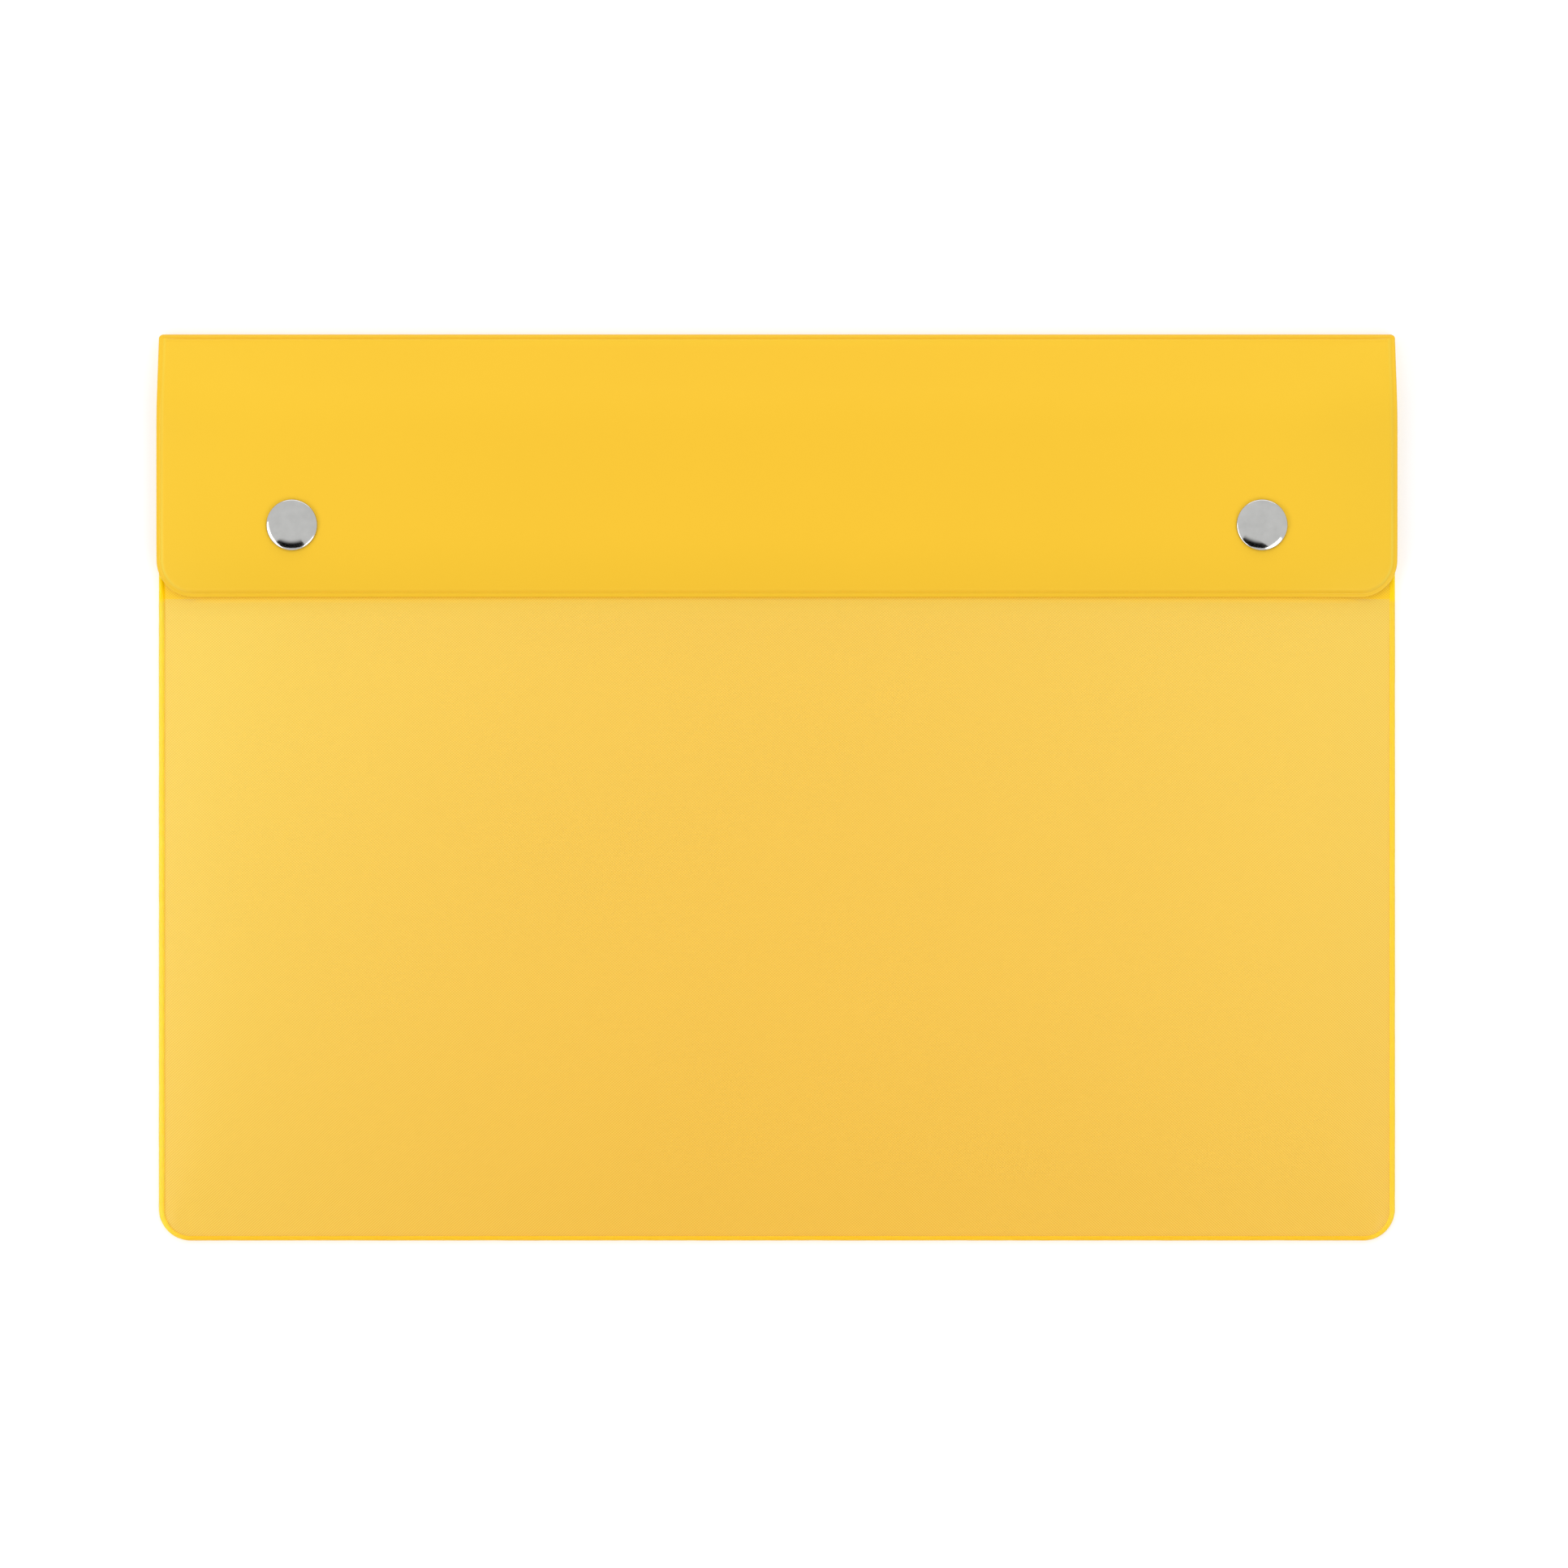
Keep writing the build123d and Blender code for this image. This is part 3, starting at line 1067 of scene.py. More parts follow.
@dataclass(frozen=True)
class Layout:
    """Places and sizes that several pieces share.

    Those without a value here are read from the solids of the frame.
    """

    half_width: float
    base_y: float
    seam_y: float
    crown_y: float
    mouth_y: float
    bead_width: float
    bead_height: float
    cover_ply: float
    rim_top: float
    lining_top: float
    film_top: float
    flap_half_width: float
    flap_edge_y: float
    flap_under: float
    flap_top: float
    snap_x: float
    snap_y: float
    film_ply: float = 0.3
    inner_radius: float = 6.7
    slim_share: float = 0.20
    fill: float = 0.33
    bare_y: float = 48.9
    bare_run: float = 0.3

    @classmethod
    def from_frame(cls) -> "Layout":
        """Reads the places.

        Returns:
            The layout.
        """
        bead_low, bead_high = node_box("weld_bead")
        panel_high = node_box("back_panel")[1]
        film_low, film_high = node_box("pocket_front")
        flap_low, flap_high = node_box("flap_cover")
        cap_low, cap_high = node_box("right_cap")
        return cls(
            half_width=bead_high.x,
            base_y=bead_low.y,
            seam_y=panel_high.y,
            crown_y=node_box("fold_cover")[1].y,
            mouth_y=film_high.y,
            bead_width=bead_high.x - panel_high.x,
            bead_height=bead_high.z,
            cover_ply=panel_high.z,
            rim_top=film_low.z,
            lining_top=node_box("back_lining")[1].z,
            film_top=film_high.z,
            flap_half_width=flap_high.x,
            flap_edge_y=flap_low.y,
            flap_under=node_box("right_socket")[1].z,
            flap_top=flap_high.z,
            snap_x=(cap_low.x + cap_high.x) / 2,
            snap_y=(cap_low.y + cap_high.y) / 2,
        )

    def inside_bead(self, top_y: float) -> SheetCut:
        """Outline of a sheet that ends at the bead, which is slimmer along the bottom."""
        low_y = self.base_y + self.bead_width * (1.0 - self.slim_share)
        return SheetCut(self.half_width - self.bead_width, low_y, top_y, self.inner_radius)

    def filled(self, slope: Array) -> Array:
        """Height to which melt fills the groove beside the bead: none of it at the left side."""
        return self.fill * (1.0 - np.sqrt(np.maximum(slope, 0.0)))

    def from_snaps(self, x: Array, y: Array) -> Array:
        """Distance from the nearer snap."""
        return np.hypot(np.abs(x) - self.snap_x, y - self.snap_y)


# Sub-assemblies


@dataclass
class BackWall:
    """The back: an outer sheet, a board and an inner sheet, welded together at the rim."""

    layout: Layout
    finishes: Finishes
    row_step: float = 4.0
    top_rows: tuple[float, ...] = (0.0, 1.0, 2.0, 3.0)
    columns: int = 80
    arc_steps: int = 12
    insets: tuple[float, ...] = (0.0, 0.25, 0.5, 0.75, 1.0, 1.3, 1.7, 2.4, 3.2, 4.2, 5.4, 6.7)
    weld_depth: float = 0.14
    weld_inset: float = 0.75
    weld_reach: float = 0.65
    board_inset: float = 10.0
    board_step: float = 5.5
    board_top_inset: float = 5.0
    film_gap: float = 0.04

    def build(self) -> None:
        """Builds and dresses the three layers."""
        place = self.layout
        cut = place.inside_bead(place.seam_y)
        rows = places(cut.top_y, cut.corner_y, self.row_step, self.top_rows)
        lattice = cut.lattice(rows, self.columns, self.arc_steps, self.insets)
        inset = cut.inset(lattice.x, lattice.y)
        weld = 1.0 - smooth(np.abs(inset - self.weld_inset) / self.weld_reach)
        raised = smooth((inset - self.board_inset + self.board_step) / self.board_step)
        raised *= smooth((cut.top_y - lattice.y) / self.board_top_inset)
        lift = (place.lining_top - place.rim_top) * raised
        masks = {Mask.WELD: weld}

        over = lattice.raised(place.cover_ply)
        under = lattice.raised(self.weld_depth * weld)
        panel = sheet_solid("back_outer_sheet", lattice, over, under, masks)
        fit(panel, self.finishes, Slot.VINYL, Body.POCKET, "back_panel")

        over = lattice.raised(place.rim_top - self.film_gap + lift)
        under = lattice.raised(place.cover_ply + lift)
        lining = sheet_solid("back_inner_sheet", lattice, over, under, masks)
        fit(lining, self.finishes, Slot.LINING, Body.POCKET, "back_lining")

        dress_node("back_stiffener", self.finishes[Slot.BOARD])


@dataclass(frozen=True)
class FoldShape:
    """Round of the two sheets over the top edge."""

    inner_radius: float = 1.0
    lining_ply: float = 0.3
    cover_ply: float = 0.4
    corner_radius: float = 1.3
    rise_angle: float = 20.0
    groove: float = 0.16
    groove_run: float = 0.32
    groove_fade: float = 5.0
    groove_least: float = 0.35

    def groove_share(self, from_end: Array) -> Array:
        """How deep the seam's groove is at a distance from either end."""
        deeper = smooth((from_end - self.corner_radius) / self.groove_fade)
        return self.groove_least + (1.0 - self.groove_least) * deeper

    @property
    def rise(self) -> float:
        """Lean of the flap where it leaves the fold, in radians."""
        return math.radians(self.rise_angle)

    @property
    def outer_radius(self) -> float:
        """Radius of the outer face."""
        return self.inner_radius + self.lining_ply + self.cover_ply

    def axis(self, layout: Layout) -> tuple[float, float]:
        """Place along and height of the middle of the round."""
        return layout.crown_y - self.outer_radius, self.outer_radius


@dataclass
class FoldStrip:
    """The outer and the inner sheet where they roll over the top edge."""

    layout: Layout
    finishes: Finishes
    shape: FoldShape = FoldShape()
    tail_steps: int = 3
    arc_steps: int = 36
    columns: int = 64

    def face(self, radius: float, groove: float) -> tuple[Array, Array, Array]:
        """One face of a strip.

        Args:
            radius: Radius of the face round the fold.
            groove: How far the face dips where it meets the flap.

        Returns:
            Places across, along and up, one row for each step round the fold.
        """
        axis_y, axis_z = self.shape.axis(self.layout)
        half_width = self.layout.flap_half_width
        turns = np.linspace(0.0, math.pi - self.shape.rise, self.arc_steps + 1)
        corner = self.shape.corner_radius
        past = np.clip(axis_y + radius * np.sin(turns) - (self.layout.crown_y - corner), 0.0, corner)
        half = half_width - corner + np.sqrt(corner**2 - past**2)
        tail = np.linspace(self.layout.seam_y, axis_y, self.tail_steps + 1)[:-1]
        shares = np.sin(np.linspace(math.pi / 2, -math.pi / 2, self.columns + 1))
        x = np.outer(np.append(np.full(len(tail), half_width), half), shares)
        left = np.append(np.full(len(tail), math.inf), (turns[-1] - turns) * radius)
        dip = groove * (1.0 - smooth(left / self.shape.groove_run))
        reach = radius - dip[:, None] * self.shape.groove_share(half_width - np.abs(x))
        along = np.append(np.zeros(len(tail)), turns)[:, None]
        start = np.append(tail, np.full(len(turns), axis_y))[:, None]
        return x, start + reach * np.sin(along), axis_z - reach * np.cos(along)

    def strip(self, name: str, inner: float, outer: float, groove: float) -> bpy.types.Object:
        """One sheet of the fold.

        Args:
            name: The piece's name.
            inner: Radius of its inner face.
            outer: Radius of its outer face.
            groove: How far its outer face dips where it meets the flap.

        Returns:
            The piece.
        """
        x, y, z = self.face(outer, groove)
        lattice = strip_lattice(x, y)
        return sheet_solid(name, lattice, lattice.raised(z), stacked(*self.face(inner, 0.0)), {})

    def build(self) -> None:
        """Builds and dresses both strips."""
        shape = self.shape
        middle = shape.inner_radius + shape.lining_ply
        cover = self.strip("fold_outer_sheet", middle, shape.outer_radius, shape.groove)
        lining = self.strip("fold_inner_sheet", shape.inner_radius, middle, 0.0)
        axis_z = shape.axis(self.layout)[1]
        fit(cover, self.finishes, Slot.VINYL, None, "fold_cover")
        fit(lining, self.finishes, Slot.LINING, None, "fold_lining")
        for piece in (cover, lining):
            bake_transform(piece)


@dataclass(frozen=True)
class FlapGuide:
    """The flap's inner face: up from the fold, level, then drooping, with both sides hanging lower."""

    half_width: float
    root_y: float
    root_z: float
    level_z: float
    edge_y: float
    rise: float
    bend_radius: float = 33.0
    droop_run: float = 16.0
    droop_radius: float = 46.0
    hang: float = 4.35
    hang_run: float = 33.4
    hang_rise: float = 28.0
    splay_share: float = 0.08
    length_steps: int = 200

    @classmethod
    def from_fold(cls, layout: Layout, shape: FoldShape) -> "FlapGuide":
        """Starts the face where the fold ends.

        Args:
            layout: The shared places.
            shape: The fold.

        Returns:
            The guide.
        """
        axis_y, axis_z = shape.axis(layout)
        return cls(
            half_width=layout.flap_half_width,
            root_y=axis_y + shape.inner_radius * math.sin(shape.rise),
            root_z=axis_z + shape.inner_radius * math.cos(shape.rise),
            level_z=layout.flap_under,
            edge_y=layout.flap_edge_y,
            rise=shape.rise,
        )

    def sides(self, x: Array, y: Array) -> tuple[Array, Array]:
        """How far the sides hang below the line.

        Args:
            x: Places across.
            y: Places along.

        Returns:
            The distances, and how far the face leans outwards there, in radians.
        """
        past = np.clip((np.abs(x) - self.half_width) / self.hang_run + 1.0, 0.0, None)
        full = self.hang * smooth((self.root_y - y) / self.hang_rise)
        return full * past**2, np.sign(x) * np.arctan(2 * full * past / self.hang_run)

    def line(self, y: Array) -> tuple[Array, Array]:
        """Height and lean of the inner face.

        Args:
            y: Places along the wallet.

        Returns:
            The heights, and how far the face leans towards the fold, in radians.
        """
        bend_rise = self.bend_radius * (1 - math.cos(self.rise))
        bend_run = self.bend_radius * math.sin(self.rise)
        straight = (self.level_z - self.root_z - bend_rise) / math.sin(self.rise)
        bend_y = self.root_y - straight * math.cos(self.rise) - bend_run
        past_bend = np.clip(y - bend_y, 0.0, bend_run)
        past_tip = np.clip(self.edge_y + self.droop_run - y, 0.0, None)
        bent = self.level_z - self.bend_radius + np.sqrt(self.bend_radius**2 - past_bend**2)
        droop = self.droop_radius - np.sqrt(self.droop_radius**2 - past_tip**2)
        ramp = self.root_z + (self.root_y - y) * math.tan(self.rise)
        height = np.where(y > bend_y + bend_run, ramp, bent - droop)
        lean = np.arcsin(past_bend / self.bend_radius) - np.arcsin(past_tip / self.droop_radius)
        return height, lean

    def lift(self, x: Array, y: Array, depth: Union[Array, float]) -> Array:
        """Points at a depth above the inner face.

        Args:
            x: Places across.
            y: Places along.
            depth: Distance out from the inner face.

        Returns:
            The points.
        """
        height, lean = self.line(y)
        hang, tilt = self.sides(x, y)
        up = height - hang + depth * np.cos(lean) * np.cos(tilt)
        out = self.splay_share * hang * np.sign(x) + depth * np.sin(tilt)
        return stacked(x + out, y + depth * np.sin(lean), up)

    def length(self) -> float:
        """Length of the line from the fold to the free edge."""
        y = np.linspace(self.edge_y, self.root_y, self.length_steps)
        return run_length(y, self.line(y)[0])


@dataclass
class Flap:
    """The flap: an outer sheet pressed down to a welded rim, a board and an inner sheet."""

    layout: Layout
    finishes: Finishes
    shape: FoldShape = FoldShape()
    guide: FlapGuide = field(init=False)
    corner_radius: float = 9.4
    board_ply: float = 0.4
    board_inset: float = 2.0
    edge_trim: float = 0.27
    row_step: float = 1.6
    columns: int = 120
    arc_steps: int = 22
    rim_insets: tuple[float, ...] = (
        0.0, 0.08, 0.18, 0.30, 0.60, 0.75, 0.85, 0.95, 1.05, 1.15, 1.30, 1.45, 1.70, 1.95, 2.20, 2.50
    )
    rim_depths: tuple[float, ...] = (
        0.46, 0.60, 0.68, 0.69, 0.68, 0.67, 0.685, 0.70, 0.73, 0.76, 0.83, 0.90, 1.02, 1.09, 1.12, 1.10
    )
    line_inset: float = 1.0
    line_reach: float = 0.60
    line_depth: float = 0.12
    seam_insets: tuple[float, ...] = (0.0, 0.10, 0.20, 0.32, 0.46, 0.66, 1.00)
    seam_depths: tuple[float, ...] = (0.54, 0.60, 0.76, 0.95, 1.08, 1.14, 1.10)
    weld_end: float = 1.6
    weld_full: float = 0.6
    lining_groove: float = 0.10
    # Where the painted highlight line runs along the rim, and how far it weakens towards the fold.
    ridge_inset: float = 1.55
    ridge_reach: float = 0.60
    ridge_y: float = 58.0
    ridge_run: float = 28.0
    ridge_fade: float = 0.50
    dimple_depth: float = 0.05
    dimple_radius: float = 8.5

    def __post_init__(self) -> None:
        """Works out the guide from the fold."""
        self.guide = FlapGuide.from_fold(self.layout, self.shape)

    def cut(self, inset: float) -> SheetCut:
        """Outline of one layer.

        Args:
            inset: How far the layer stays inside the flap's outline.

        Returns:
            The outline.
        """
        return SheetCut(
            self.layout.flap_half_width - inset,
            self.layout.flap_edge_y + self.edge_trim + inset,
            self.guide.root_y - inset,
            self.corner_radius - inset,
        )

    def lattice(self, cut: SheetCut) -> Lattice:
        """Lattice of one layer."""
        rows = places(cut.top_y, cut.corner_y, self.row_step, self.seam_insets)
        return cut.lattice(rows, self.columns, self.arc_steps, self.rim_insets)

    def depth(self, cut: SheetCut, lattice: Lattice) -> Array:
        """Depth of the outer face: a pressed rim and seam, a fine line along the free edge, and dimples.

        Args:
            cut: The flap's outline.
            lattice: The sheet's lattice.

        Returns:
            The depths.
        """
        inset = cut.inset(lattice.x, lattice.y)
        line = 1.0 - smooth(np.abs(inset - self.line_inset) / self.line_reach)
        rim = np.interp(inset, self.rim_insets, self.rim_depths)
        rim = rim - self.line_depth * line * (1.0 - self.facing(cut, lattice))
        pressed = self.shape.groove_share(self.layout.flap_half_width - np.abs(lattice.x))
        seam = np.interp(cut.top_y - lattice.y, self.seam_insets, self.seam_depths)
        seam = seam * pressed + self.seam_depths[-1] * (1.0 - pressed)
        near_snap = 1.0 - smooth(self.layout.from_snaps(lattice.x, lattice.y) / self.dimple_radius)
        return np.minimum(rim, seam) - self.dimple_depth * near_snap

    def facing(self, cut: SheetCut, lattice: Lattice) -> Array:
        """How far the nearest edge is a side one: 1 at the sides, 0 at the free edge."""
        return np.abs(cut.slope(lattice.x, lattice.y, self.ridge_reach))

    def ridge(self, cut: SheetCut, lattice: Lattice) -> Array:
        """Painted highlight line along the rim's inner slope, at the sides and the corners, weaker towards
        the fold.

        Args:
            cut: The flap's outline.
            lattice: The sheet's lattice.

        Returns:
            A value of 0 to 1 a point.
        """
        from_line = np.abs(cut.inset(lattice.x, lattice.y) - self.ridge_inset)
        fade = self.ridge_fade * smooth((lattice.y - self.ridge_y) / self.ridge_run)
        return self.facing(cut, lattice) * (1.0 - smooth(from_line / self.ridge_reach)) * (1.0 - fade)

    def layer(
        self, name: str, lattice: Lattice, low: Union[Array, float], high: Union[Array, float], masks: Masks
    ) -> bpy.types.Object:
        """One layer of the flap.

        Args:
            name: The piece's name.
            lattice: Its lattice.
            low: Depth of its inner face.
            high: Depth of its outer face.
            masks: Values for its points.

        Returns:
            The piece.
        """
        over = self.guide.lift(lattice.x, lattice.y, high)
        under = self.guide.lift(lattice.x, lattice.y, low)
        return sheet_solid(name, lattice, over, under, masks)

    def build(self) -> None:
        """Builds and dresses the three layers."""
        cut = self.cut(0.0)
        lattice = self.lattice(cut)
        from_edge = np.minimum(cut.inset(lattice.x, lattice.y), cut.top_y - lattice.y)
        weld = 1.0 - smooth(from_edge / self.weld_end - self.weld_full)
        # Painted light towards the sides.
        masks = {Mask.WELD: weld, Mask.SIDE: (lattice.x / self.layout.flap_half_width) ** 2}
        flat = (2 * cut.half_width * MM, self.guide.length() * MM)
        lining_ply = self.shape.lining_ply

        depth = self.depth(cut, lattice)
        under = np.maximum(depth - self.shape.cover_ply, lining_ply)
        cover = self.layer("flap_outer_sheet", lattice, under, depth, masks)
        # Painted highlight line along the rim.
        ridge = self.ridge(cut, lattice)
        mask_points(cover, {Mask.RIDGE: np.concatenate([ridge, np.zeros(len(ridge))])})
        fit(cover, self.finishes, Slot.VINYL, Body.FLAP, "flap_cover")

        lining = self.layer("flap_inner_sheet", lattice, self.lining_groove * weld, lining_ply, masks)
        fit(lining, self.finishes, Slot.LINING, Body.FLAP, "flap_lining")

        board_lattice = self.lattice(self.cut(self.board_inset))
        board_top = lining_ply + self.board_ply - self.dimple_depth
        board = self.layer("flap_board", board_lattice, lining_ply, board_top, {})
        fit(board, self.finishes, Slot.BOARD, Body.FLAP, "flap_stiffener")


@dataclass
class PocketFront:
    """The embossed film, welded at its flanges and standing clear of the back."""

    layout: Layout
    finishes: Finishes
    flange: float = 0.5
    flange_lift: float = 0.45
    lip: float = 0.42
    lip_run: float = 0.4
    side_run: float = 32.0
    bottom_run: float = 60.0
    corner_power: float = 4.0
    least_share: float = 0.001
    swell: float = 0.6
    swell_y: float = 8.0
    swell_reach: float = 44.0
    row_step: float = 2.2
    brink_steps: int = 4
    columns: int = 150
    arc_steps: int = 18
    insets: tuple[float, ...] = (0.0, 0.1, 0.2, 0.3, 0.4, 0.6, 0.9, 1.3, 2.0, 2.8, 3.8, 5.0)
    flat_steps: int = 400
    covered_run: float = 26.0
    # Painted shade line under the flap's free edge.
    edge_shade_width: float = 0.8
    edge_shade_fade: float = 2.0
    edge_shade_share: float = 0.8
    # Painted glow under the flap's corners.
    glow_x: float = 148.0
    glow_run: float = 4.0
    glow_y: float = 51.5
    glow_rise: float = 5.0
    # Painted glow below the flap's edge towards the sides, which lifts its shade.
    brink_run: float = 1.5
    brink_share: float = 0.75
    # Painted light near the flap's edge: the film turns opaque there, hiding the shade on the back below.
    foot_run: float = 9.0
    foot_share: float = 0.9
    # Painted light on the film, lighter towards the top and the sides and less so on the right.
    lit_up: float = 0.51
    lit_side: float = 0.54
    lit_corner: float = 0.16
    lit_lean: float = 0.4

    def height(self, cut: SheetCut, x: Array, y: Array) -> Array:
        """Height of the film's outer face.

        Args:
            cut: The film's outline.
            x: Places across.
            y: Places along.

        Returns:
            The heights.
        """
        place = self.layout
        inset = cut.inset(x, y)
        side = np.clip((cut.half_width - np.abs(x) - self.flange) / self.side_run, self.least_share, None)
        bottom = np.clip((y - cut.low_y - self.flange) / self.bottom_run, self.least_share, None)
        rounded = (side**-self.corner_power + bottom**-self.corner_power) ** (-1.0 / self.corner_power)
        corner = np.clip((inset - self.flange) / self.side_run, 0.0, None)
        share = np.clip(np.minimum(rounded, corner), 0.0, 1.0)
        rise = 1 - (1 - share) ** 2
        beside = 1.0 - smooth(inset / self.lip_run)
        filled = place.filled(cut.slope(x, y, self.lip_run)) * beside
        flange_top = place.rim_top + place.film_ply + self.flange_lift
        flange_top = flange_top + self.lip * (1.0 - beside) + filled
        across = np.clip(1.0 - (x / (cut.half_width - self.side_run)) ** 2, 0.0, 1.0)
        along = 1.0 - smooth(np.abs(y - self.swell_y) / self.swell_reach)
        return flange_top + (place.film_top - flange_top) * rise + self.swell * across * along

    def lattice(self, cut: SheetCut) -> Lattice:
        """Lattice of the film, with closer rows where the flap leaves it bare.

        Args:
            cut: The film's outline.

        Returns:
            The lattice.
        """
        bare_y, bare_run = self.layout.bare_y, self.layout.bare_run
        close = np.linspace(0.0, bare_run, self.brink_steps + 1)
        wider = np.linspace(bare_run, self.brink_run, self.brink_steps + 1)[1:]
        covered = places(cut.top_y, bare_y, self.row_step)
        bare = places(bare_y, cut.corner_y, self.row_step, (*close, *wider))
        return cut.lattice(np.append(covered[:-1], bare), self.columns, self.arc_steps, self.insets)

    def masks(self, cut: SheetCut, lattice: Lattice) -> Masks:
        """Where the film takes a painted sheen, missing under the flap, where painted glow lifts its shade,
        and where painted light makes it paler.

        Args:
            cut: The film's outline.
            lattice: The film's lattice.

        Returns:
            Values for its points.
        """
        bare_run = self.layout.bare_run
        past = lattice.y - self.layout.bare_y
        aside = lattice.x / cut.half_width
        corner = smooth((np.abs(lattice.x) - self.glow_x) / self.glow_run)
        # Painted shade line just under the flap's free edge, with painted glow in it.
        edge_shade = smooth(past / bare_run + 1.0) * (1.0 - smooth((past - self.edge_shade_width) / self.edge_shade_fade))
        # Painted glow that lifts the shade just below the flap's edge, towards the sides.
        brink = np.clip(1.0 + past / self.brink_run, 0.0, 1.0) * (past <= 0.0) * (1.0 - corner)
        # Near the flap's edge the film turns towards its covered tone and opacity, which hides the shade on
        # the back below: painted light.
        foot = np.clip(1.0 + past / self.foot_run, 0.0, 1.0) ** 2

        # Painted sheen on bare film, missing under the flap, over a run that is short at the corners.
        run = self.covered_run + (bare_run - self.covered_run) * corner
        haze = 1.0 - smooth((past + bare_run) / run)
        haze = np.minimum(haze, 1.0 - self.edge_shade_share * edge_shade)
        # Painted glow under the flap's corners and along its edge.
        low = 1.0 - smooth((lattice.y - self.glow_y) / self.glow_rise)
        glow = np.maximum(corner * low, self.brink_share * edge_shade) * (1.0 - haze)
        glow = np.maximum(glow, self.brink_share * brink * np.abs(aside))
        haze = np.minimum(haze, 1.0 - self.foot_share * foot)

        # Painted light: lighter towards the top and the sides, less so on the right.
        up = np.clip((lattice.y - cut.low_y) / (self.layout.bare_y - cut.low_y), 0.0, 1.0)
        across = aside**2 * (1.0 - self.lit_lean * (1.0 + aside) / 2)
        side = self.lit_up * up + across * (self.lit_side + self.lit_corner * up)
        return {Mask.HAZE: haze, Mask.SIDE: side, Mask.GLOW: glow}

    def flat(self, cut: SheetCut) -> tuple[float, float]:
        """Size that the film is cut to, measured along its two middle lines.

        Args:
            cut: The film's outline.

        Returns:
            Its width and length in metres.
        """
        middle = np.zeros(self.flat_steps)
        x = np.linspace(-cut.half_width, cut.half_width, self.flat_steps)
        y = np.linspace(cut.low_y, cut.top_y, self.flat_steps)
        across = run_length(x, self.height(cut, x, middle))
        along = run_length(y, self.height(cut, middle, y))
        return across * MM, along * MM

    def build(self) -> None:
        """Builds and dresses the film."""
        cut = self.layout.inside_bead(self.layout.mouth_y)
        lattice = self.lattice(cut)
        top = self.height(cut, lattice.x, lattice.y)
        under = lattice.raised(top - self.layout.film_ply)
        film = sheet_solid("pocket_film", lattice, lattice.raised(top), under, self.masks(cut, lattice))
        film.visible_shadow = False
        film.visible_diffuse = False
        fit(film, self.finishes, Slot.FILM, Body.POCKET, "pocket_front")
        self.flat(cut)


@dataclass
class WeldBead:
    """The fused bead down both sides and along the bottom."""

    layout: Layout
    finishes: Finishes
    corner_radius: float = 8.2
    step: float = 1.2
    arc_steps: int = 30
    waves: tuple[tuple[float, float], ...] = ((41.0, 0.5), (17.0, 0.3), (6.3, 0.2))
    wander_inset: float = 0.05
    wander_height: float = 0.07
    inset_phase: float = 1.0
    height_phase: float = 2.0
    # Where the painted shade and glow under the flap's corners end.
    clear_y: float = 54.0
    shade_strip_run: float = 8.0
    # Painted light: full on the left side, less on the right, least along the bottom.
    lit_right: float = 0.62
    lit_bottom: float = 0.05
    crest: float = 0.93
    section: tuple[tuple[float, float], ...] = (
        (0.12, 0.0),
        (0.02, 0.10),
        (0.0, 0.35),
        (0.0, 0.95),
        (0.04, 1.22),
        (0.14, 1.50),
        (0.31, 1.74),
        (0.56, 1.88),
        (0.82, 1.88),
        (1.04, 1.80),
        (1.22, 1.67),
        (1.36, 1.56),
        (1.44, 1.46),
        (1.50, 1.36),
        (1.50, 0.0),
    )

    def wander(self, along: Array, phase: float) -> Array:
        """Unevenness along the melted bead, of about -1 to 1: waves, each with a length and a share."""
        turns = [(share, 2 * math.pi * along / length + phase * length) for length, share in self.waves]
        return sum(share * np.sin(turn) for share, turn in turns)

    def ring(self, points: Array, inwards: Array, inset: float, height: float) -> Array:
        """One line of the section along the whole bead.

        Args:
            points: The bead's outline.
            inwards: The inward direction at each point.
            inset: The line's distance in from the outline.
            height: The line's height.

        Returns:
            The line's points.
        """
        place = self.layout
        along = np.concatenate([[0.0], np.hypot(*np.diff(points, axis=0).T).cumsum()])
        crown = height / place.bead_height
        shift = self.wander_inset * self.wander(along, self.inset_phase + inset) * math.sin(math.pi * crown)
        lower = self.wander_height * (0.5 + 0.5 * self.wander(along, self.height_phase)) * crown**2
        reach = inset * (1.0 - place.slim_share * np.abs(inwards[:, 1]))
        plan = points + (reach + np.maximum(shift, -reach))[:, None] * inwards
        inner = smooth((inset - self.crest) / (place.bead_width - self.crest)) if height else 0.0
        return np.column_stack([plan, height - lower + inner * place.filled(inwards[:, 0])])

    def build(self) -> None:
        """Builds and dresses the bead."""
        place = self.layout
        cut = SheetCut(place.half_width, place.base_y, place.seam_y, self.corner_radius)
        rows = places(cut.top_y, cut.corner_y, self.step)
        columns = math.ceil(2 * (cut.half_width - cut.corner_radius) / self.step)
        points, inwards = cut.edge(rows, columns, self.arc_steps)
        rings = [self.ring(points, inwards, inset, height) for inset, height in self.section]
        index = np.arange(len(points) * len(rings)).reshape(len(rings), len(points))
        faces = [*quads([*index, index[0]]), index[:, 0], index[::-1, -1]]
        bead = make_object("fused_bead", np.concatenate(rings), faces)

        # Painted shade and glow under the flap's corners, and painted light by the side the bead faces.
        haze = smooth((place.bare_y - points[:, 1]) / place.bare_run)
        haze = np.maximum(haze, smooth((points[:, 1] - self.clear_y) / self.shade_strip_run))
        full = np.where(inwards[:, 0] > 0.0, 1.0, self.lit_right)
        lit = self.lit_bottom + (full - self.lit_bottom) * np.abs(inwards[:, 0])
        mask_points(bead, {Mask.HAZE: haze, Mask.SIDE: lit})
        fit(bead, self.finishes, Slot.BEAD, Body.POCKET, "weld_bead")


